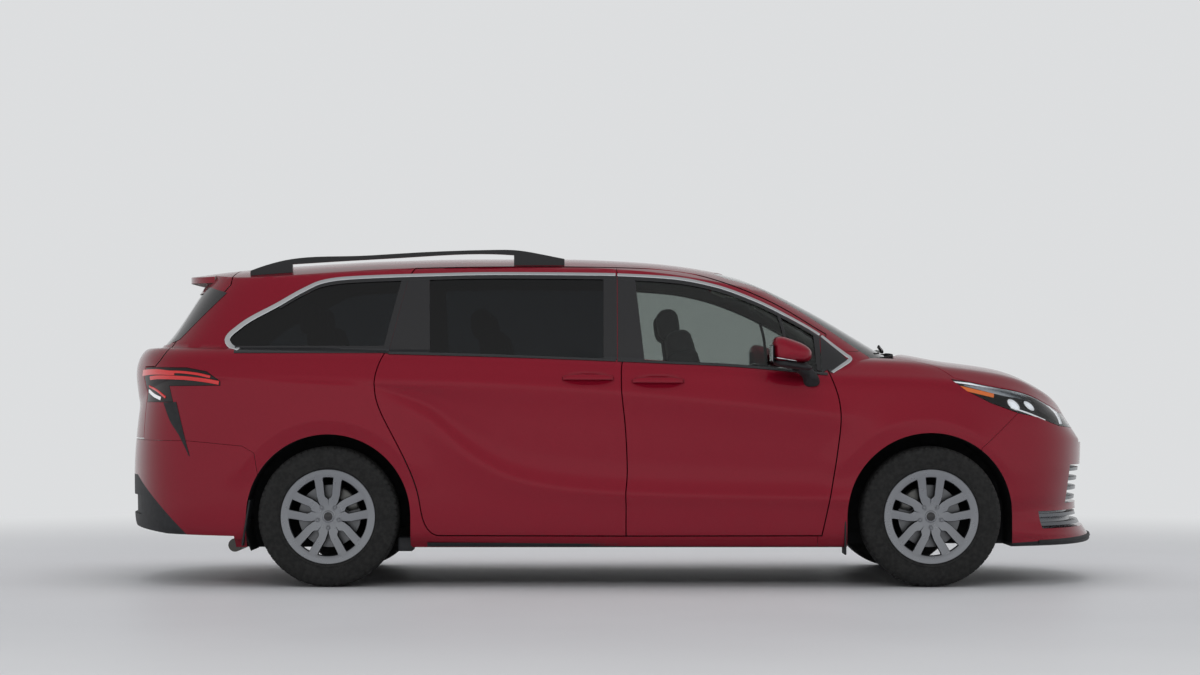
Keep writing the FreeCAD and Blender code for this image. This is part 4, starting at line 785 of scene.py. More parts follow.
def press_sides(mesh):
    """Divide the outer faces near the pressed crests until their sides are short, then move their
    corners out to the finished skin."""
    for _ in range(7):
        points = read_all(mesh.vertices, "co")
        ends = read_all(mesh.edges, "vertices", 2, int)
        x, y, z = points.T
        outer = (np.abs(np.abs(y) - side_y(x, z)) < ON_SKIN) & (z < SIDE_TOP) & (np.abs(y) > SIDE_INNER)
        span = points[ends[:, 0]] - points[ends[:, 1]]
        middle = points[ends].mean(1)
        near = pressed(middle[:, 0], middle[:, 2]) > 0
        long = np.linalg.norm(span, axis=1)
        pick = np.flatnonzero(outer[ends].all(1) & (long > np.where(near, NEAR_SIDE, FAR_SIDE)))
        if not len(pick):
            break
        bm = bmesh.new()
        bm.from_mesh(mesh)
        bm.edges.ensure_lookup_table()
        bmesh.ops.subdivide_edges(bm, edges=[bm.edges[i] for i in pick.tolist()], cuts=1)
        bmesh.ops.triangulate(bm, faces=bm.faces[:])
        bm.to_mesh(mesh)
        bm.free()
    points = read_all(mesh.vertices, "co")
    x, y, z = points.T
    skin = side_y(x, z)
    outer = (np.abs(np.abs(y) - skin) < ON_SKIN + .0004) & (z < SIDE_TOP + .02) & (np.abs(y) > SIDE_INNER)
    lift = pressed(x, z)
    points[:, 1] = np.where(outer & (lift > 0), np.sign(y) * (skin + lift), y)
    mesh.vertices.foreach_set("co", points.ravel())
    mesh.update()


def dress_panel(node, name, material, slot, body, reach=.004, crease=28, inner=(), black=(), bowed=False):
    """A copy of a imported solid's mesh, its corners joined, shaded by the smooth form's own normals
    where it lies on the form and by its faces elsewhere, or as a bowed pane. It stands for the node.
    inner names the finishes of faces off the form. black lists lines ((x, z), (x, z)) across the side
    view: what lies under all of them is grained plastic."""
    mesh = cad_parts[node].data.copy()
    mesh.name = name
    piece = add_object(mesh)
    bm = bmesh.new()
    bm.from_mesh(mesh)
    bmesh.ops.remove_doubles(bm, verts=bm.verts, dist=2e-5)
    for (x0, z0), (x1, z1) in black:
        bmesh.ops.bisect_plane(bm, geom=bm.verts[:] + bm.edges[:] + bm.faces[:], dist=1e-5,
                               plane_co=(x0, 0, z0), plane_no=(z0 - z1, 0, x1 - x0))
    bm.to_mesh(mesh)
    bm.free()
    if slot == "paint":
        press_sides(mesh)
    if mesh.has_custom_normals:
        with bpy.context.temp_override(object=piece, active_object=piece):
            bpy.ops.mesh.customdata_custom_splitnormals_clear()
    mesh.polygons.foreach_set("use_smooth", [True] * len(mesh.polygons))
    mesh.set_sharp_from_angle(angle=math.radians(crease))
    normals = read_all(mesh.corner_normals, "vector")
    points = read_all(mesh.vertices, "co")[read_all(mesh.loops, "vertex_index", 1, int)]
    counts = read_all(mesh.polygons, "loop_total", 1, int)
    face_normals = read_all(mesh.polygons, "normal")
    facing = np.repeat(face_normals, counts, axis=0)
    smooth, on_form = fitted_normal(points, facing) if bowed else form_normal(points, facing, reach)
    normals[on_form] = smooth[on_form]
    mesh.normals_split_custom_set(normals.tolist())
    mesh.materials.clear()
    mesh.materials.append(material)
    if inner:
        face_of_loop = np.repeat(np.arange(len(mesh.polygons)), counts)
        seen = np.bincount(face_of_loop, on_form, len(mesh.polygons)) > 0
        centres = read_all(mesh.polygons, "center")
        for lining in inner:
            mesh.materials.append(finishes[lining])
        number = inner_finish(centres, face_normals, seen)
        if black:
            mesh.materials.append(finishes["grained"])
            under = np.ones(len(centres), bool)
            for (x0, z0), (x1, z1) in black:
                under &= centres[:, 2] < z0 + (centres[:, 0] - x0) * (z1 - z0) / (x1 - x0)
            number = np.where(under, len(inner) + 1, number)
        mesh.polygons.foreach_set("material_index", number)
    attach(piece, body)
    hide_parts(node)
    return piece


# Lines of (x, z) under which the bumpers are black, painted nodes and glass with their bodies and
# finishes, and nodes that are shown as they are.
BLACK_UNDER = {"rear_bumper": [((-2.477, .560), (-2.203, .293)), ((-2.9, .561), (-1.5, .560))],
               "front_bumper": [((2.059, .219), (2.534, .242))]}
PAINTED = [("hood", "hood"), ("roof", "body"), ("front_bumper", "body"), ("rear_bumper", "body"),
           ("body_side_left", "body"), ("body_side_right", "body"), ("front_fenders", "body"),
           ("front_door_left", "front_door_left"), ("front_door_right", "front_door_right"),
           ("sliding_door_left", "body"), ("sliding_door_right", "body"), ("tailgate", "tailgate")]
GLAZED = [("windscreen", "body", "screen_glass"), ("tailgate_glass", "tailgate", "dark_glass"),
          ("quarter_glass", "body", "dark_glass"), ("sliding_door_glass", "body", "dark_glass"),
          ("front_door_glass_left", "front_door_left", "clear_glass"),
          ("front_door_glass_right", "front_door_right", "clear_glass")]
PLAIN = {"underbody": "under", "front_subframe": "iron", "rear_axle": "iron", "exhaust": "exhaust",
         "fuel_tank": "under", "engine": "iron", "roof_rails": "satin", "knuckle_left": "iron",
         "knuckle_right": "iron", "dashboard": "cabin", "steering_wheel": "cabin", "grille": "dark_chrome"}


def keep_node(node, material):
    """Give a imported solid, shown as it is, its finish."""
    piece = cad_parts[node]
    piece.data.materials.clear()
    piece.data.materials.append(material)


class MINIVAN_OT_panels(bpy.types.Operator):
    """Painted panels and glass, in the solids' own shapes"""
    bl_idname = "minivan.panels"
    bl_label = "Panels and glass"

    def execute(self, context):
        for node, body in PAINTED:
            dress_panel(node, node + "_panel", finishes["paint"], "paint", body,
                        inner=("cabin", "liner", "under"), black=BLACK_UNDER.get(node, ()))
        for node, body, glass in GLAZED:
            dress_panel(node, node + "_pane", finishes[glass], "glass", body, .016,
                        bowed=node == "windscreen")
        dress_panel("headlamps", "headlamp_lenses", finishes["lens"], "glass", "body", .02,
                    inner=("lamp_black", "lamp_black", "lamp_black"))
        dress_panel("tail_lamps", "tail_lamp_lenses", finishes["smoked_lens"], "lamp_red", "body", .02)
        for node, name in PLAIN.items():
            keep_node(node, finishes[name])
        return {"FINISHED"}


# ---------------------------------------------------------------- strips, patches and turned shapes
def even_path(path, count):
    """Even places along the calm curve through the given points."""
    path = np.asarray(path, float)
    length = np.concatenate([[0], np.cumsum(np.linalg.norm(np.diff(path, axis=0), axis=1))])
    return calm_curve(length, path, np.linspace(0, length[-1], count))


def skin_points(x, z, lift):
    """Points of the left side's skin at places x and heights z, moved out by lift along its normal."""
    normal = side_normal(x, z)
    return np.stack([x, skin_y(x, z), z], -1) + normal * np.asarray(lift)[..., None], normal


def carried(centre, across, out, profile):
    """A closed profile carried along a path: point = centre + a across + b out. The ends are flat."""
    profile = np.asarray(profile, float)
    a, b = profile[..., 0], profile[..., 1]
    if profile.ndim == 2:
        a, b = a[None], b[None]
    grid = centre[:, None] + across[:, None] * a[..., None] + out[:, None] * b[..., None]
    return grid.reshape(-1, 3), tube_faces(*grid.shape[:2])


def turned(profile, count, centre=(0, 0, 0)):
    """A closed profile of (along the Y axis, radius) turned once round: r cos t, a, r sin t."""
    a, r = np.asarray(profile, float).T
    t = np.linspace(0, 2 * np.pi, count, endpoint=False)[:, None]
    grid = np.stack([r * np.cos(t), a + 0 * t, r * np.sin(t)], -1)
    return (grid + np.asarray(centre)).reshape(-1, 3), grid_faces(count, len(r), True, True)


def bar_profile(width, height):
    """Cross-section of a strip: flat and 1 mm sunk below, its upper corners quarter circles."""
    r = min(height * .7, width / 2)
    t = np.linspace(0, np.pi / 2, 4)
    right = np.stack([width / 2 - r + r * np.cos(t), height - r + r * np.sin(t)], 1)
    left = (right * (-1, 1))[::-1]
    return np.concatenate([[(width / 2, -.001)], right, left, [(-width / 2, -.001)]])


def skin_strip(path, width, height, count=60, lift=0.0):
    """A strip that follows a path of (x, z) on the left side's skin. width may vary along it."""
    x, z = even_path(path, count).T
    centre, normal = skin_points(x, z, np.full(count, lift))
    along_path = unit(np.gradient(centre, axis=0))
    widest = float(np.max(width))
    share = np.broadcast_to(np.asarray(width, float) / widest, (count,))
    profile = bar_profile(widest, height)[None] * np.stack([share, np.ones(count)], 1)[:, None]
    return carried(centre, unit(np.cross(normal, along_path)), normal, profile)


def skin_patch(edge_a, edge_b, lift, rows=24, columns=8, sink=.0015):
    """A thin sheet on the left side's skin between two edges of (x, z): straight lines join them."""
    a, b = even_path(edge_a, rows), even_path(edge_b, rows)
    t = np.linspace(0, 1, columns)[None, :, None]
    flat_grid = a[:, None] * (1 - t) + b[:, None] * t
    x, z = flat_grid[..., 0], flat_grid[..., 1]
    top, normal = skin_points(x, z, np.full(x.shape, lift))
    under = top - normal * (sink + lift)
    ring = np.concatenate([top, under[:, ::-1]], 1)
    return ring.reshape(-1, 3), tube_faces(rows, columns * 2)


PAD_ROWS = 14


def pad_shell(centre, half, corner, crown=(0, 0, 0), turn=0.0):
    """A rounded block: a cube's grid pushed onto a box grown by a ball of the corner radius, each side
    crowned by (1 - u^2)(1 - v^2). turn leans it about the Y axis, in degrees."""
    t = np.sin(np.linspace(-1, 1, PAD_ROWS) * np.pi / 2)
    u, v = np.meshgrid(t, t, indexing="ij")
    one = np.ones_like(u)
    sides = ((one, u, v), (-one, v, u), (v, one, u), (u, -one, v), (u, v, one), (v, u, -one))
    cube = np.stack([np.stack(p, -1) for p in sides]).reshape(-1, 3)
    half, crown = np.asarray(half, float), np.asarray(crown, float)
    box = cube * half
    core = np.clip(box, -(half - corner), half - corner)
    points = core + unit(box - core) * corner
    inner = 1 - np.clip(np.abs(cube), 0, 1) ** 2
    for axis, (a, b) in enumerate(((1, 2), (0, 2), (0, 1))):
        points[:, axis] += crown[axis] * cube[:, axis] * inner[:, a] * inner[:, b]
    c, d = math.cos(math.radians(turn)), math.sin(math.radians(turn))
    x, y, z = points.T
    points = np.stack([x * c + z * d, y, z * c - x * d], 1)
    faces = sum((grid_faces(PAD_ROWS, PAD_ROWS, start=i * PAD_ROWS ** 2) for i in range(6)), [])
    return points + np.asarray(centre, float), faces


def on_side(shells, way):
    """Shells of the left side as they are (way 1), or mirrored to the right side (way -1)."""
    return [(points * (1, way, 1), faces) for points, faces in shells]


def round_loop(a, b, count=16, power=1.0, power_b=None):
    """A closed loop of (a cos t, b sin t), each cosine and sine raised to a power that squares it off."""
    t = np.linspace(0, 2 * np.pi, count, endpoint=False)
    c, d = np.cos(t), np.sin(t)
    return np.stack([a * np.sign(c) * np.abs(c) ** power,
                     b * np.sign(d) * np.abs(d) ** (power_b or power)], 1)


def both_sides(shells):
    """The shells and their mirror images across the car's middle plane."""
    return list(shells) + on_side(shells, -1)


def add_shells(name, shells, finish, body, crease=None):
    """One finished piece of closed shells, its doubles merged and each shell turned outwards."""
    points, faces, start = [], [], 0
    for shell_points, shell_faces in shells:
        points.append(shell_points)
        faces += [tuple(c + start for c in f) for f in shell_faces]
        start += len(shell_points)
    mesh = bpy.data.meshes.new(name)
    mesh.from_pydata(np.concatenate(points).tolist(), [], faces)
    bm = bmesh.new()
    bm.from_mesh(mesh)
    bmesh.ops.remove_doubles(bm, verts=bm.verts, dist=1e-6)
    bmesh.ops.recalc_face_normals(bm, faces=bm.faces)
    bm.to_mesh(mesh)
    bm.free()
    mesh.polygons.foreach_set("use_smooth", [True] * len(mesh.polygons))
    return finish_piece(add_object(mesh), finish, body, crease)


# ---------------------------------------------------------------- trim on the sides
# Paths of (x, z) in metres, seen from the side.
WINDOW_TOP = [(-1.908, 1.206), (-1.950, 1.222), (-1.972, 1.257), (-1.914, 1.322), (-1.711, 1.442),
              (-1.590, 1.513), (-1.496, 1.556), (-1.400, 1.573), (-1.301, 1.580), (-1.044, 1.590),
              (-.579, 1.600), (-.062, 1.596), (.026, 1.594), (.180, 1.587), (.333, 1.575), (.529, 1.536),
              (.724, 1.466), (.916, 1.371), (1.062, 1.285), (1.200, 1.182)]
BELT_LINE = [(-1.147, 1.188), (-.979, 1.184), (-.571, 1.173), (-.062, 1.154), (.243, 1.141), (.559, 1.127),
             (.853, 1.104), (1.105, 1.079)]
# Films on the pillars: two edges of (x, z), how far they stand off the skin, rows and columns.
BODY_FILMS = (([(-1.930, 1.225), (-1.148, 1.225)], [(-1.930, 1.188), (-1.150, 1.188)], .0022, 60, 5),
              ([(-1.1425, 1.186), (-1.0475, 1.584)], [(-.930, 1.184), (-.941, 1.586)], .0018, 40, 8),
              ([(-1.176, 1.188), (-1.081, 1.582)], [(-1.1435, 1.186), (-1.0485, 1.583)], .0018, 40, 5),
              ([(-.044, 1.158), (-.044, 1.592)], [(.0255, 1.154), (.0255, 1.592)], .0018, 40, 6),
              ([(1.0690, 1.280), (1.0690, 1.088)], [(1.090, 1.272), (1.206, 1.154)], .0022, 30, 10),
              ([(1.100, 1.102), (1.206, 1.157)], [(1.118, 1.084), (1.206, 1.148)], .0022, 20, 4))
DOOR_FILMS = (([(.0285, 1.152), (.0285, 1.592)], [(.166, 1.146), (.117, 1.586)], .0018, 40, 8),
              ([(1.030, 1.318), (1.045, 1.100)], [(1.0655, 1.292), (1.0655, 1.096)], .0018, 30, 5))
DOOR_SPLIT = (.018, .028)
DOOR_FRONT = (1.066, 1.076)
SIDES = (("left", 1), ("right", -1))


def cut_path(path, low, high):
    """The part of a path between two places along the car, its ends put in by straight lines."""
    path = np.asarray(path, float)
    inside = path[(path[:, 0] > low) & (path[:, 0] < high)].tolist()
    ends = [[(x, np.interp(x, *path.T))] if path[0, 0] < x < path[-1, 0] else [] for x in (low, high)]
    return np.array(ends[0] + inside + ends[1])


class MINIVAN_OT_side_trim(bpy.types.Operator):
    """Bright strips round the windows, belt strips and black pillar films"""
    bl_idname = "minivan.side_trim"
    bl_label = "Side trim"

    def execute(self, context):
        wide = context.scene.minivan_sizes.trim_strip
        rear_top = np.array(WINDOW_TOP[:3] + cut_path(WINDOW_TOP[3:], -3, DOOR_SPLIT[0]).tolist())
        door_top = cut_path(WINDOW_TOP[3:], DOOR_SPLIT[1], DOOR_FRONT[0])
        corner = [(DOOR_FRONT[1], 1.277), (1.130, 1.232), (1.196, 1.181), (1.222, 1.160), (1.215, 1.150),
                  (1.180, 1.126), (1.122, 1.088)]
        rear_belt = cut_path(BELT_LINE, -1.140, DOOR_SPLIT[0])
        door_belt = cut_path(BELT_LINE, DOOR_SPLIT[1], 1.098)
        rear_wide = np.interp(np.linspace(0, 1, 150), [0, .03, .12, .35, 1], [1.35, 1.55, 1.45, 1.1, 1.0])
        corner_wide = np.interp(np.linspace(0, 1, 50), [0, .5, 1], [1, 1.25, .95])
        body_bright = [skin_strip(rear_top, rear_wide * wide, .006, 150),
                       skin_strip(corner, corner_wide * wide, .006, 50)]
        add_shells("bright_strips", both_sides(body_bright), "chrome", "body")
        inset = np.array((0, .016))
        body_black = [
            skin_strip(rear_top[4:] - inset, .022, .0028, 120),
            skin_strip(rear_belt, wide, .006, 60),
            *(skin_patch(*film) for film in BODY_FILMS)]
        add_shells("pillar_films", both_sides(body_black), "gloss_black", "body", 40)
        for name, way in SIDES:
            bright = [skin_strip(door_top, wide, .006, 120)]
            black = [skin_strip(door_top - inset, .022, .0028, 120),
                     skin_strip(door_belt, wide, .006, 70),
                     *(skin_patch(*film) for film in DOOR_FILMS),
                     skin_strip([(.852, 1.394), (.880, 1.290), (.900, 1.106)], .016, .003, 30)]
            door = "front_door_" + name
            add_shells("door_bright_" + name, on_side(bright, way), "chrome", door)
            add_shells("door_films_" + name, on_side(black, way), "gloss_black", door, 40)
        return {"FINISHED"}


# ---------------------------------------------------------------- wheels
NUT_CIRCLE, CLAMP_RADIUS, TREAD_SLOTS = .0571, .1290, 64


def tyre_shell():
    """A tyre about the Y axis: a closed profile turned round, its radius cut by four grooves round the
    tread and by 64 slots across each shoulder."""
    side = [(.1080, .2405), (.1120, .2430), (.1175, .2500), (.1185, .2540), (.1165, .2575), (.1190, .2700),
            (.1208, .2860), (.1212, .3010), (.1200, .3160), (.1192, .3180), (.1195, .3205), (.1172, .3300),
            (.1125, .3415), (.1065, .3490), (.0990, .3532)]
    tread = [(.0900, .3548), (.0745, .3558), (.0735, .3500), (.0650, .3500), (.0640, .3563), (.0480, .3567),
             (.0345, .3569), (.0335, .3500), (.0245, .3500), (.0235, .3570), (.0080, .3570)]
    half = np.array(side + tread)
    profile = np.concatenate([half, half[::-1] * (-1, 1), [(-.09, .2400), (0, .2400), (.09, .2400)]])
    count = TREAD_SLOTS * 6
    a, r = profile.T
    t = np.linspace(0, 2 * np.pi, count, endpoint=False)[:, None]
    slot = (np.arange(count) % 6 < 1)[:, None]
    off = np.abs(a)
    shoulder = np.clip((off - .074) / .004, 0, 1) * np.clip((.1165 - off) / .006, 0, 1) * (r > .30)
    middle = (np.abs(off - .05) < .016) & (r > .355)
    sipe = (np.arange(count) % 6 == 3)[:, None]
    radius = r - slot * shoulder * .0055 - sipe * middle * .003
    grid = np.stack([radius * np.cos(t), a + 0 * t, radius * np.sin(t)], -1)
    return grid.reshape(-1, 3), grid_faces(count, len(r), True, True)


def rim_shells():
    """Band and barrel, hub, and five pairs of spokes that widen into the band. +Y looks outwards."""
    band = turned([(.090, .1960), (.1000, .1972), (.1050, .2010), (.1075, .2080), (.1088, .2240),
                   (.1092, .2340), (.1100, .2385), (.1080, .2402), (.1010, .2402), (.0985, .2310),
                   (.060, .2290), (-.098, .2290), (-.1005, .2402), (-.1090, .2402), (-.1100, .2300),
                   (-.098, .2205), (.060, .2190), (.082, .2080)], 160)
    hub = turned([(.050, 0), (.0885, 0), (.0885, .0240), (.0870, .0285), (.0845, .0295), (.0835, .0320),
                  (.0835, .0440), (.0850, .0465), (.0862, .0520), (.0862, .0660), (.0845, .0720),
                  (.0790, .0745), (.050, .0760)], 90)
    shells = [band, hub]
    steps = np.linspace(.040, .214, 40)
    inner = np.interp(steps, [.04, .090, .097, .106, .150, .190, .214],
                      [-.003, 0, .011, .0172, .0210, .0252, .0262])
    outer = np.interp(steps, [.04, .071, .104, .150, .178, .190, .200, .214],
                      [.030, .0500, .0600, .0655, .0695, .0750, .0880, .1060])
    face = .0860 + .0205 * np.clip((steps - .05) / .15, 0, 1) ** 1.4
    t = np.array([0, 0, .012, .05, .5, .95, .988, 1, 1, .5])
    h = np.array([-.038, -.006, -.0022, 0, .0006, 0, -.0022, -.006, -.038, -.042])
    for pair in range(5):
        turn = math.radians(90 + 72 * pair)
        ahead = np.array((math.cos(turn), 0, math.sin(turn)))
        across = np.array((-math.sin(turn), 0, math.cos(turn)))
        for way in (1, -1):
            side = (inner[:, None] * (1 - t) + outer[:, None] * t) * way
            grid = (ahead * steps[:, None, None] + across * side[..., None]
                    + np.array((0, 1, 0)) * (face[:, None] + h)[..., None])
            shells.append((grid.reshape(-1, 3), tube_faces(*grid.shape[:2])))
    return shells


def brake_disc():
    """Ground disc with its hat."""
    return turned([(-.019, .080), (-.019, .158), (-.012, .160), (.006, .160), (.010, .158), (.010, .080),
                   (.048, .076), (.048, .040), (-.019, .040)], 96)


class MINIVAN_OT_wheels(bpy.types.Operator):
    """Tyres with their tread, turned alloy wheels, brake discs, callipers and nuts"""
    bl_idname = "minivan.wheels"
    bl_label = "Wheels"

    def execute(self, context):
        tyre, rim = tyre_shell(), rim_shells()
        cap = turned([(.080, 0), (.0896, 0), (.0894, .0200), (.0885, .0222), (.080, .0225)], 60)
        nuts = []
        for i in range(5):
            turn = math.radians(90 + 36 + 72 * i)
            centre = (NUT_CIRCLE * math.cos(turn), 0, NUT_CIRCLE * math.sin(turn))
            nuts.append(turned([(.070, 0), (.0945, 0), (.0945, .0070), (.0925, .0098), (.070, .0104)],
                               6, centre))
            nuts.append(turned([(.070, 0), (.0868, 0), (.0868, .0128), (.0855, .0140), (.070, .0142)],
                               24, centre))
        for corner, x in (("front_left", FRONT_AXLE), ("front_right", FRONT_AXLE),
                          ("rear_left", REAR_AXLE), ("rear_right", REAR_AXLE)):
            way = 1 if corner.endswith("left") else -1
            flip, place = np.array((1, way, 1)), np.array((x, HUB_SIDE * way, HUB_HEIGHT))

            def put(shells):
                return [(points * flip + place, faces) for points, faces in shells]

            wheel = "wheel_" + corner
            piece = add_shells("tread_" + corner, put([tyre]), "tyre", wheel, 35)
            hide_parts("tyre_" + corner)
            piece = add_shells("alloy_" + corner, put(rim), "alloy", wheel, 32)
            mesh = piece.data
            mesh.materials.append(finishes["alloy_pocket"])
            facing = read_all(mesh.polygons, "normal")[:, 1] * way
            mesh.polygons.foreach_set("material_index", (facing < .62).astype(int))
            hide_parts("rim_" + corner)
            add_shells("cap_" + corner, put([cap]), "gloss_black", wheel, 40)
            add_shells("nuts_" + corner, put(nuts), "steel", wheel, 30)
            add_shells("disc_" + corner, put([brake_disc()]), "disc", wheel, 30)
            carrier = "knuckle_left" if corner == "front_left" else (
                "knuckle_right" if corner == "front_right" else "body")
            lean = 1 if corner.startswith("front") else -1
            t = np.linspace(math.radians(62), math.radians(118), 18)
            t = t + lean * math.radians(48)
            centre = np.stack([CLAMP_RADIUS * np.cos(t), 0 * t + .004, CLAMP_RADIUS * np.sin(t)], 1)
            out = np.stack([np.cos(t), 0 * t, np.sin(t)], 1)
            side = np.tile((0, 1, 0), (18, 1))
            loop = round_loop(.036, .038, 28, .5)
            taper = (1 - .25 * np.abs(np.linspace(-1, 1, 18)) ** 4)[:, None, None]
            clamp = carried(centre, side, out, loop[None] * taper)
            add_shells("calliper_" + corner, put([clamp]), "calliper", carrier, 35)
        return {"FINISHED"}


# ---------------------------------------------------------------- handles, mirrors, lower trim and wipers
def handle_recess(x, z, long, high, depth):
    """An oval sheet on the skin whose normals are those of a bowl, h = -depth (1 - r^2)^2, so that it
    reads as a hollow. Returns the shell and its points' normals."""
    t = np.linspace(0, 2 * np.pi, 64, endpoint=False)
    r = np.concatenate([np.linspace(0, 1, 14), [.98, .5, 0]])
    u, v = (r * part[:, None] for part in round_loop(1, 1, 64, .72, .82).T)
    top = np.arange(len(r)) < 14
    lift = np.where(top, np.minimum(.0012, (1 - r) * .02 + .0004), -.001)
    px, pz = x + u * long, z + v * high
    points, normal = skin_points(px, pz, np.broadcast_to(lift, px.shape))
    slope = np.where(top, 4 * depth * r * (1 - r ** 2), 0)
    bent = normal.copy()
    bent[..., 0] -= slope * np.cos(t)[:, None] / long
    bent[..., 2] -= slope * np.sin(t)[:, None] / high
    bent = np.where(top[None, :, None], unit(bent), -normal)
    return points.reshape(-1, 3), grid_faces(64, len(r), True), bent.reshape(-1, 3)


def handle_bar(x, z, long):
    """A bar that springs from the skin at both ends: height h = a (1 - u^6)."""
    u = np.linspace(-1, 1, 40)
    px = x + u * long
    centre, normal = skin_points(px, np.full(40, z), .001 + .020 * (1 - np.abs(u) ** 6))
    ahead = unit(np.gradient(centre, axis=0))
    loop = round_loop(.0150, .0075, 20, .8, 1.0)
    size = (1 - .35 * np.abs(u) ** 4)[:, None, None]
    return carried(centre, unit(np.cross(normal, ahead)), normal, loop[None] * size)


def mirror_loft(x, z, long, high, taper, y_low, y_high, grow=1.0, power=4.0):
    """A closed loft along Y: rounded-box sections that shrink to the ends as (1 - t^power)^(1/2)."""
    t = np.linspace(-1, 1, 33)
    t = np.sin(t * np.pi / 2)
    size = np.sqrt(np.clip(1 - np.abs(t) ** power, .0004, 1)) * grow
    y = (y_low + y_high) / 2 + t * (y_high - y_low) / 2 * (1 + (grow - 1) * .3)
    u, v = round_loop(1, 1, 48, .62, .72).T
    grid = np.stack([x + long * u * size[:, None], y[:, None] + 0 * u,
                     z + high * v * (1 - taper * u) * size[:, None] - .16 * long * u * size[:, None]], -1)
    return grid.reshape(-1, 3), tube_faces(33, 48)


def end_points(reader, y, z, lift, way):
    """Points of the nose or tail skin at side places y and heights z, moved out by lift."""
    dy, dz = slope_pair(reader, np.abs(y), z)
    normal = unit(np.stack([np.ones_like(dy), -dy * np.sign(y), -dz], -1)) * way
    points = np.stack([reader(y, z), y, z], -1)
    return points + normal * np.asarray(lift)[..., None], normal


def top_points(x, y, lift):
    """Points of the upper skin at places (x, y), moved out by lift."""
    dx, dy = slope_pair(top_z, x, np.abs(y))
    normal = unit(np.stack([-dx, -dy * np.sign(y), np.ones_like(dx)], -1))
    return np.stack([x, y, top_z(x, y)], -1) + normal * np.asarray(lift)[..., None], normal


def rod_through(points, a, b, count=40, power=1.0, size=None):
    """A rod of elliptical section a by b along the calm curve through points in space."""
    centre = even_path(points, count)
    ahead = unit(np.gradient(centre, axis=0))
    up = np.tile((0., 0., 1.), (count, 1))
    across = unit(np.cross(up, ahead) + (0, 1e-9, 0))
    loop = round_loop(a, b, power=power)
    if size is not None:
        loop = loop[None] * np.asarray(size)[:, None, None]
    return carried(centre, across, np.cross(ahead, across), loop)


class MINIVAN_OT_handles(bpy.types.Operator):
    """Door handles in their hollows"""
    bl_idname = "minivan.handles"
    bl_label = "Door handles"

    def execute(self, context):
        for door, body_name, x, z, long in (("sliding", "body", -.123, 1.056, .141),
                                            ("front", "front_door", .232, 1.042, .143)):
            for name, way in SIDES:
                body = body_name if body_name == "body" else "front_door_" + name
                points, faces, normals = handle_recess(x, z, long, .042, .0105)
                flip = np.array((1, way, 1))
                faces = faces if way < 0 else [f[::-1] for f in faces]
                piece = add_mesh("handle_hollow_%s_%s" % (door, name), points * flip, faces)
                piece.data.normals_split_custom_set_from_vertices((normals * flip).tolist())
                finish_piece(piece, "paint", body)
                bar = handle_bar(x, z + .002, long * .93)
                add_shells("handle_%s_%s" % (door, name), on_side([bar], way), "paint", body)
        return {"FINISHED"}


class MINIVAN_OT_mirrors(bpy.types.Operator):
    """Door mirrors: painted cap, bright strip, black foot and the glass"""
    bl_idname = "minivan.mirrors"
    bl_label = "Mirrors"

    def execute(self, context):
        for name, way in SIDES:
            body = "front_door_" + name
            cap = mirror_loft(.905, 1.192, .100, .062, .30, .925, 1.180)
            piece = add_shells("mirror_cap_" + name, on_side([cap], way), "paint", body, 50)
            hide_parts("mirror_" + name)
            strip = mirror_loft(.872, 1.153, .066, .0085, .1, .925, 1.180, 1.012)
            add_shells("mirror_strip_" + name, on_side([strip], way), "chrome", body, 50)
            arm = [(.935, 1.040, 1.120), (.985, .995, 1.090), (1.008, .972, 1.060), (1.015, .950, 1.038)]
            black = [mirror_loft(.910, 1.126, .098, .020, .1, .925, 1.172, .98),
                     rod_through(arm, .036, .026, 30, .8, np.linspace(1, 1.15, 30)),
                     pad_shell((.8065, 1.052, 1.183), (.004, .104, .043), .003)]
            add_shells("mirror_foot_" + name, on_side(black, way), "grained", body, 50)
            glass = pad_shell((.8025, 1.052, 1.183), (.0022, .098, .038), .0015)
            add_shells("mirror_glass_" + name, on_side([glass], way), "reflector", body, 50)
        return {"FINISHED"}


PLATE_HEIGHT, LINER_RADIUS = .925, .436


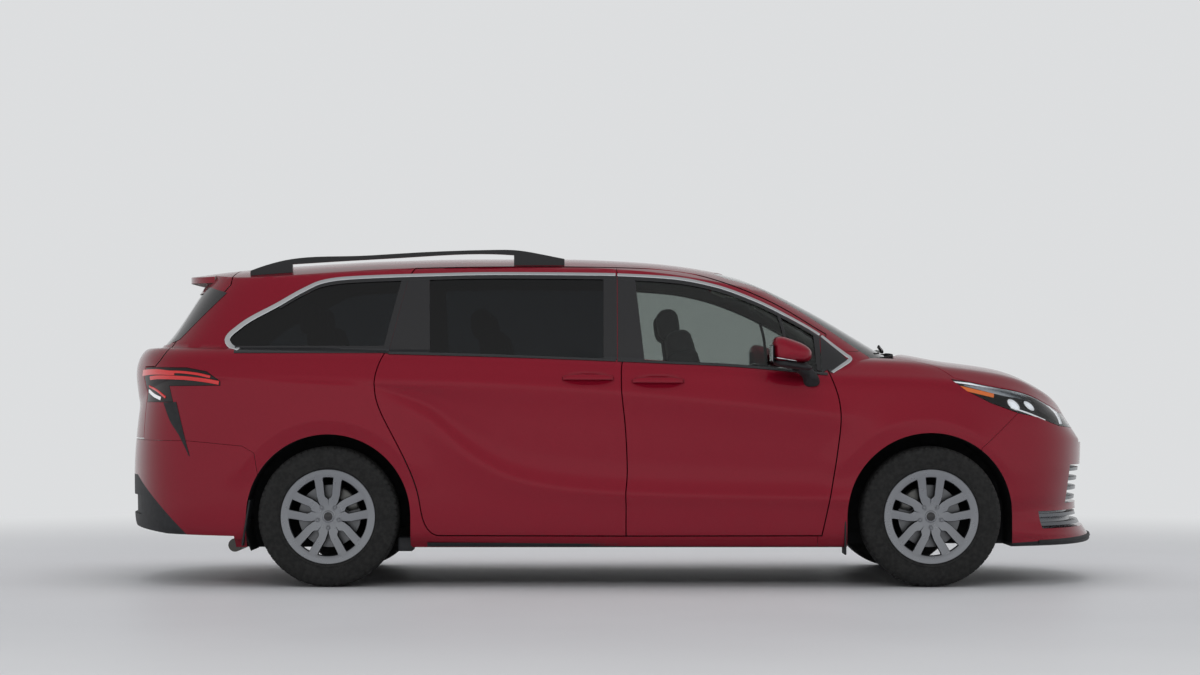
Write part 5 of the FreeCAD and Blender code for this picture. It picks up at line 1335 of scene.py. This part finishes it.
class MINIVAN_OT_lower_trim(bpy.types.Operator):
    """Front lip, sills, flaps, wheel-house liners whose walls reach down as a dark sheet of painted shade,
    films, exhaust tip and the blank plate
    """
    bl_idname = "minivan.lower_trim"
    bl_label = "Lower trim"

    def execute(self, context):
        y = np.linspace(-.80, .80, 90)
        z = .240 - .014 * np.abs(y / .8) ** 2
        nose, normal = end_points(nose_x, y, z, np.full(90, .002), 1)
        up = np.tile((0., 0., 1.), (90, 1))
        flat_out = unit(normal * (1, 1, 0))
        section = [(-.03, -.014), (.010, -.014), (.016, -.006), (.012, .006), (-.03, .010)]
        shells = [carried(nose, flat_out, up, section)]
        side = [skin_patch([(-2.302, .936), (-2.262, .842), (-2.213, .770), (-2.158, .665)],
                           [(-2.228, .939), (-2.205, .850), (-2.182, .762), (-2.154, .662)], .0022, 40, 6),
                skin_strip([(-.94, .214), (0, .212), (1.15, .212)], .026, .004, 90),
                pad_shell((1.184, .880, .305), (.005, .082, .142), .004),
                pad_shell((-1.860, .880, .325), (.005, .080, .118), .004, turn=9),
                pad_shell((-1.052, .845, .215), (.040, .075, .036), .012)]
        shells += both_sides(side)
        add_shells("lower_trim", shells, "grained", "body", 40)
        shells = []
        for way in (-1, 1):
            t = np.radians(np.linspace(-24, 204, 60))
            arc, inner = (np.stack([REAR_AXLE + r * np.cos(t), HUB_HEIGHT + r * np.sin(t)], 1)
                          for r in (LINER_RADIUS, LINER_RADIUS - .006))
            grid = np.stack([np.stack([ring[:, 0], np.full(60, y * way), ring[:, 1]], 1)
                             for ring, y in ((arc, .60), (arc, .90), (inner, .90), (inner, .60))], 1)
            shells.append((grid.reshape(-1, 3), tube_faces(60, 4)))
            # The inner wall is notched over the axle, and its foot is level. Above the floor it is the
            # wheel house's own wall. Lower down, below the hub, it is a dark sheet of painted shade that
            # stands for the shadow under the car.
            low = .185
            notch = [(REAR_AXLE + x, z) for x, z in ((-.06, low), (-.06, .300), (.06, .300), (.06, low))]
            edge = np.concatenate([arc, [(arc[-1, 0], low)], notch, [(arc[0, 0], low)]])
            n = len(edge)
            walls = [np.stack([edge[:, 0], np.full(n, y * way), edge[:, 1]], 1) for y in (.596, .604)]
            rim = [(k, (k + 1) % n, (k + 1) % n + n, k + n) for k in range(n)]
            shells.append((np.concatenate(walls), rim + [tuple(range(n))[::-1], tuple(range(n, 2 * n))]))
        add_shells("rear_arch_liners_and_shade_sheet", shells, "under", "body", 40)
        film = skin_patch([(-2.112, 1.540), (-2.200, 1.405), (-2.284, 1.245)],
                          [(-1.992, 1.503), (-2.110, 1.390), (-2.240, 1.262)], .0020, 40, 8)
        add_shells("tailgate_films", both_sides([film]), "gloss_black", "tailgate", 40)
        tip = rod_through([(-2.02, .44, .262), (-2.16, .44, .250), (-2.235, .44, .246)], .044, .026, 24, .8)
        add_shells("exhaust_tip", [tip], "exhaust", "body", 40)
        x = float(tail_x(np.array([0.]), np.array([PLATE_HEIGHT]))[0]) + .018
        plate = pad_shell((x, 0, PLATE_HEIGHT), (.0025, .152, .064), .002)
        add_shells("blank_plate", [plate], "plate", "tailgate", 40)
        return {"FINISHED"}


class MINIVAN_OT_wipers(bpy.types.Operator):
    """Wiper blades and arms on the windscreen and the rear window"""
    bl_idname = "minivan.wipers"
    bl_label = "Wipers"

    def execute(self, context):
        shells = []
        for low, high, pivot in ((-.46, .02, .04), (.07, .60, .64)):
            for a, b, c, size, up in ((low, high, 0, (.006, .0085), .010),
                                      ((low + high) / 2, pivot, .040, (.0095, .0050), .018)):
                t = np.linspace(0, 1, 50)
                y = a + (b - a) * t
                x = 1.448 - .13 * (y / .75) ** 2 + c * t * .6
                centre, normal = top_points(x, y, up - .012 * t * (c > 0))
                ahead = unit(np.gradient(centre, axis=0))
                shells.append(carried(centre, unit(np.cross(normal, ahead)), normal,
                                      round_loop(*size, 12, .7)))
        add_shells("screen_wipers", shells, "satin", "body", 40)
        y = np.linspace(.34, -.06, 40)
        z = np.full(40, 1.262)
        centre, normal = end_points(tail_x, y + 1e-4, z, np.full(40, .009), -1)
        ahead = unit(np.gradient(centre, axis=0))
        rear = [carried(centre, unit(np.cross(normal, ahead)), normal, round_loop(.006, .009, 12, .7)),
                rod_through([centre[12] + normal[12] * .010, centre[30] + normal[30] * .010,
                             centre[39] + normal[39] * .006 + (0, -.05, -.035)], .008, .005, 30)]
        add_shells("rear_wiper", rear, "satin", "tailgate", 40)
        return {"FINISHED"}


# ---------------------------------------------------------------- lamps
# Angle of the projectors' long axis in degrees, and their rings' and lenses' sections: radius as a
# share of the outline, and millimetres off the skin.
LENS_TURN = -38
RING_PROFILE = [(1, -6), (1.14, -5), (1.22, -9), (1.14, -13), (1, -13)]
CORE_PROFILE = [(0, -3), (.3, -3.3), (.6, -4), (.85, -5.5), (1, -9), (1, -13), (.5, -13)]


class MINIVAN_OT_lamps(bpy.types.Operator):
    """What shows in the head and tail lamps"""
    bl_idname = "minivan.lamps"
    bl_label = "Lamps"

    def execute(self, context):
        top = [(1.728, 1.049), (1.873, 1.034), (2.019, 1.016), (2.141, .992), (2.252, .948), (2.318, .902),
               (2.340, .862), (2.344, .826)]
        low = [(1.745, 1.041), (1.873, 1.022), (2.015, 1.002), (2.131, .976), (2.236, .933), (2.296, .892),
               (2.318, .856), (2.325, .826)]
        foot = [(2.04, .912), (2.144, .880), (2.235, .846)]
        shells = [skin_patch(top, low, -.0035, 90, 8, .004), skin_strip(foot, .008, .003, 40, -.006)]
        add_shells("lamp_strips", both_sides(shells), "lamp_white", "body", 50)
        inside = [(1.790, 1.028), (1.90, 1.016), (2.02, .998), (2.12, .975), (2.17, .952)]
        under = [(1.800, 1.022), (1.90, .996), (2.00, .972), (2.08, .958), (2.16, .945)]
        shells = [skin_patch(inside, under, -.007, 60, 8, .004)]
        add_shells("lamp_reflectors", both_sides(shells), "reflector", "body", 50)
        amber = [skin_strip([(1.775, 1.013), (1.860, .993), (1.950, .972)], .022, .003, 40, -.005)]
        add_shells("side_markers", both_sides(amber), "amber_lens", "body", 50)
        rings, cores = [], []
        t = np.linspace(0, 2 * np.pi, 40, endpoint=False)[:, None]
        turn = math.cos(math.radians(LENS_TURN)), math.sin(math.radians(LENS_TURN))
        for x, z, long, wide in ((2.058, .926, .040, .021), (2.146, .921, .036, .0165)):
            for hold, profile in ((rings, RING_PROFILE), (cores, CORE_PROFILE)):
                r, lift = np.array(profile).T
                u, v = long * r * np.cos(t), wide * r * np.sin(t)
                points, _ = skin_points(x + u * turn[0] - v * turn[1], z + u * turn[1] + v * turn[0],
                                        lift * .001 + 0 * u)
                hold.append((points.reshape(-1, 3), grid_faces(40, len(r), True, hold is rings)))
        add_shells("projector_rings", both_sides(rings), "gloss_black", "body", 40)
        add_shells("projectors", both_sides(cores), "lamp_white", "body", 40)
        upper = [(-2.000, 1.036), (-2.080, 1.050), (-2.200, 1.062), (-2.330, 1.066), (-2.385, 1.062)]
        red = [skin_strip(upper, .020, .003, 60, .0005),
               skin_patch([(-2.440, 1.106), (-2.36, 1.108), (-2.24, 1.096)],
                          [(-2.445, 1.074), (-2.36, 1.080), (-2.24, 1.076)], .0005, 40, 6, .003),
               skin_strip([(-2.045, 1.066), (-2.120, 1.082), (-2.220, 1.092), (-2.350, 1.094)],
                          .013, .003, 60, .0005),
               skin_strip([(-2.395, 1.020), (-2.345, .998), (-2.290, .962)], .012, .003, 40, .0005)]
        add_shells("tail_lamp_red", both_sides(red), "red_lens", "body", 50)
        white = [skin_strip([(-2.398, .996), (-2.360, .972), (-2.320, .956)], .018, .003, 40, .0005)]
        add_shells("reversing_lamps", both_sides(white), "white_lens", "body", 50)
        return {"FINISHED"}


# ---------------------------------------------------------------- seats and cabin
def seat_shells(x, y, z, width, high):
    """Crowned pads of one seat whose rear foot is at (x, y, z): cushion, back, side rolls, headrest."""
    half = width / 2
    soft = [pad_shell((x + .455, y, z + .330), (.265, half - .045, .088), .05, (0, 0, .018), turn=7),
            pad_shell((x + .185, y, z + .690), (.068, half - .050, .300), .05, (.016, 0, 0), turn=-13),
            pad_shell((x + .075, y, z + high - .085), (.050, .125, .082), .042, (.010, 0, 0), turn=-8)]
    rolls, hard = [], [pad_shell((x + .43, y, z + .125), (.225, half - .055, .122), .02)]
    for way in (-1, 1):
        side, post = y + way * (half - .040), y + way * .06
        rolls += [pad_shell((x + .450, side, z + .342), (.262, .038, .090), .034, (0, 0, .008), turn=7),
                  pad_shell((x + .192, y + way * (half - .042), z + .640), (.080, .040, .240), .036,
                            (.008, 0, 0), turn=-13)]
        hard.append(rod_through([(x + .095, post, z + .93), (x + .080, post, z + 1.02)], .007, .007, 6))
    return soft, rolls, hard


class MINIVAN_OT_cabin(bpy.types.Operator):
    """Padded seats, the dashboard's screens and vents, sun visors and inner mirror"""
    bl_idname = "minivan.cabin"
    bl_label = "Seats and cabin"

    def execute(self, context):
        rows = (("front_seats", .222, (-.385, .385), .330, .515, 1.100),
                ("middle_seats", -.758, (-.385, .385), .330, .515, 1.100),
                ("rear_bench", -1.672, (-.345, 0, .345), .360, .345, 1.100))
        for node, x, places, z, width, high in rows:
            soft, rolls, hard = [], [], []
            for y in places:
                parts = seat_shells(x, y, z, width, high)
                soft += parts[0]
                rolls += parts[1]
                hard += parts[2]
            piece = add_shells(node + "_cloth", soft, "cloth", "body", 60)
            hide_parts(node)
            piece = add_shells(node + "_rolls", rolls, "bolster", "body", 60)
            add_shells(node + "_frames", hard, "cabin", "body", 40)
        trim = [pad_shell((1.020, 0, 1.115), (.006, .135, .070), .004, turn=-12),
                pad_shell((1.190, .385, 1.150), (.120, .190, .030), .028),
                pad_shell((.700, 0, .640), (.330, .095, .020), .018, (0, 0, .010))]
        trim += [pad_shell((1.030, y, 1.020), (.010, .055, .026), .008, turn=-10)
                 for y in (-.60, -.24, .20, .60)]
        add_shells("dash_trim", trim, "gloss_black", "body", 40)
        visors = [pad_shell((.700, y, 1.500), (.075, .180, .008), .007, turn=14) for y in (-.38, .38)]
        visors.append(pad_shell((.760, 0, 1.455), (.012, .115, .032), .011, turn=-8))
        add_shells("visors", visors, "liner", "body", 40)
        return {"FINISHED"}


# ---------------------------------------------------------------- floor, lamps and camera
BACKDROP = (.72, .73, .74, 1)
# The camera was fitted to the photograph: place in metres, lens in millimetres, tilt in degrees.
CAMERA_PLACE, CAMERA_LENS, CAMERA_TILT = (-.062, -14.93, .949), 82.47, 1.302


class MINIVAN_OT_stage(bpy.types.Operator):
    """Floor, lamps and the camera at the photograph's angle"""
    bl_idname = "minivan.stage"
    bl_label = "Stage"

    def execute(self, context):
        sizes = context.scene.minivan_sizes
        u, v = np.meshgrid(np.linspace(-40, 40, 9), np.linspace(-40, 40, 9), indexing="ij")
        floor = add_mesh("floor", np.stack([u, v, 0 * u], -1), grid_faces(9, 9))
        finish, tree, shader = new_finish("Pale resin floor")
        set_shader(shader, rough=.5)
        varied_colour(tree, shader, "BCBDBF", "BEBFC1", 900)
        # Past a few metres the floor turns into the backdrop's own pale tone, so that no horizon shows.
        place = add_node(tree, "ShaderNodeTexCoord")
        away = add_node(tree, "ShaderNodeVectorMath", {"operation": "LENGTH"}, {0: place.outputs["Object"]})
        fade = add_node(tree, "ShaderNodeMapRange", {"interpolation_type": "SMOOTHSTEP", "From Min": 3.2,
                                                     "From Max": 9.0},
                        {"Value": away.outputs["Value"]})
        tone = add_node(tree, "ShaderNodeEmission", {"Color": BACKDROP, "Strength": 1.0})
        blend = add_node(tree, "ShaderNodeMixShader", None,
                         {0: fade.outputs["Result"], 1: shader.outputs["BSDF"],
                          2: tone.outputs["Emission"]})
        show(tree, blend)
        floor.data.materials.append(finish)
        world = bpy.data.worlds.new("Soft studio")
        context.scene.world = world
        world.use_nodes = True
        tree = world.node_tree
        tree.nodes.clear()
        seen = add_node(tree, "ShaderNodeLightPath")
        place = add_node(tree, "ShaderNodeTexCoord")
        height = add_node(tree, "ShaderNodeSeparateXYZ", None, {"Vector": place.outputs["Generated"]})
        ramp = add_node(tree, "ShaderNodeValToRGB", None, {"Fac": height.outputs["Z"]})
        ramp.color_ramp.elements[0].position, ramp.color_ramp.elements[0].color = .0, (.30, .30, .31, 1)
        ramp.color_ramp.elements[1].position, ramp.color_ramp.elements[1].color = .7, (.95, .96, 1.0, 1)
        middle = ramp.color_ramp.elements.new(.12)
        middle.color = (.42, .43, .45, 1)
        soft = add_node(tree, "ShaderNodeBackground", {"Strength": sizes.sky},
                        {"Color": ramp.outputs["Color"]})
        wall = add_node(tree, "ShaderNodeValToRGB", None, {"Fac": height.outputs["Z"]})
        wall.color_ramp.elements[0].position, wall.color_ramp.elements[0].color = .16, BACKDROP
        wall.color_ramp.elements[1].position, wall.color_ramp.elements[1].color = 1.0, (.34, .35, .36, 1)
        for position, tone in ((.34, .50), (.50, .44), (.75, .40)):
            wall.color_ramp.elements.new(position).color = (tone, tone, tone * 1.01, 1)
        pale = add_node(tree, "ShaderNodeBackground", {"Strength": 1.0}, {"Color": wall.outputs["Color"]})
        most = add_node(tree, "ShaderNodeMath", {"operation": "MAXIMUM"},
                        {0: seen.outputs["Is Glossy Ray"], 1: seen.outputs["Is Transmission Ray"]})
        share = add_node(tree, "ShaderNodeMath", {"operation": "MAXIMUM"},
                         {0: most.outputs["Value"], 1: seen.outputs["Is Camera Ray"]})
        mixed = add_node(tree, "ShaderNodeMixShader", None,
                         {0: share.outputs["Value"], 1: soft.outputs["Background"],
                          2: pale.outputs["Background"]})
        add_node(tree, "ShaderNodeOutputWorld", None, {"Surface": mixed.outputs["Shader"]})
        for name, place, aim, long, wide, power in (
                ("Overhead bank", (0, 0, 5.2), (0, 0, 0), 7.5, 3.2, 165),
                ("Near bank", (0, -6.5, 3.6), (0, 0, .9), 8.0, 1.6, 115),
                ("Far bank", (0, 6.5, 3.6), (0, 0, .9), 8.0, 1.6, 110),
                ("Front bank", (7.0, 0, 2.6), (2.0, 0, .7), 3.5, 1.6, 60),
                ("Rear bank", (-7.0, 0, 2.6), (-2.0, 0, .7), 3.5, 1.6, 60)):
            lamp = bpy.data.lights.new(name, "AREA")
            lamp.shape, lamp.size, lamp.size_y, lamp.energy = "RECTANGLE", long, wide, power
            holder = bpy.data.objects.new(name, lamp)
            holder.location = place
            holder.visible_glossy = False
            aimed = np.array(aim, float) - np.array(place, float)
            holder.rotation_euler = Vector(aimed).to_track_quat("-Z", "Y").to_euler()
            context.scene.collection.objects.link(holder)
        camera = bpy.data.cameras.new("Photograph view")
        camera.lens, camera.sensor_width, camera.clip_end = CAMERA_LENS, 36.0, 200
        holder = bpy.data.objects.new("Photograph view", camera)
        holder.location = CAMERA_PLACE
        holder.rotation_euler = (math.radians(90 + CAMERA_TILT), 0, 0)
        context.scene.collection.objects.link(holder)
        context.scene.camera = holder
        context.scene.view_settings.view_transform = "Standard"
        return {"FINISHED"}


class MinivanColours(bpy.types.PropertyGroup):
    """Colours that a user would change"""
    paint: FloatVectorProperty(name="Paint", description="Colour of the painted panels", subtype="COLOR",
                               size=4, min=0, max=1, default=srgb("8C0D26"))


class MinivanSizes(bpy.types.PropertyGroup):
    """Sizes that a user would change"""
    sky: FloatProperty(name="Sky strength", description="Strength of the soft light from all round",
                       default=.62, min=0)
    trim_strip: FloatProperty(name="Bright strip width",
                              description="Width of the strip round the side windows",
                              default=.019, unit="LENGTH")


class MINIVAN_PT_sidebar(bpy.types.Panel):
    """Lists the sizes, the colours and the pieces"""
    bl_idname = "MINIVAN_PT_sidebar"
    bl_label = "Minivan"
    bl_space_type = "VIEW_3D"
    bl_region_type = "UI"
    bl_category = "Minivan"

    def draw(self, context):
        layout = self.layout
        for group in (context.scene.minivan_colours, context.scene.minivan_sizes):
            for name in group.__annotations__:
                layout.prop(group, name)
        for operator in OPERATORS:
            layout.operator(operator.bl_idname)


OPERATORS = (MINIVAN_OT_panels, MINIVAN_OT_side_trim, MINIVAN_OT_handles, MINIVAN_OT_mirrors,
             MINIVAN_OT_lower_trim, MINIVAN_OT_wipers, MINIVAN_OT_lamps, MINIVAN_OT_cabin,
             MINIVAN_OT_wheels, MINIVAN_OT_stage)
CLASSES = (MinivanColours, MinivanSizes) + OPERATORS + (MINIVAN_PT_sidebar,)


def register():
    for item in CLASSES:
        bpy.utils.register_class(item)
    bpy.types.Scene.minivan_colours = PointerProperty(type=MinivanColours)
    bpy.types.Scene.minivan_sizes = PointerProperty(type=MinivanSizes)


def unregister():
    del bpy.types.Scene.minivan_colours
    del bpy.types.Scene.minivan_sizes
    for item in reversed(CLASSES):
        bpy.utils.unregister_class(item)


def main():
    register()
    make_finishes(bpy.context.scene.minivan_colours)
    for operator in OPERATORS:
        group, name = operator.bl_idname.split(".")
        getattr(getattr(bpy.ops, group), name)()
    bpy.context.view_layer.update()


if __name__ == "__main__":
    main()
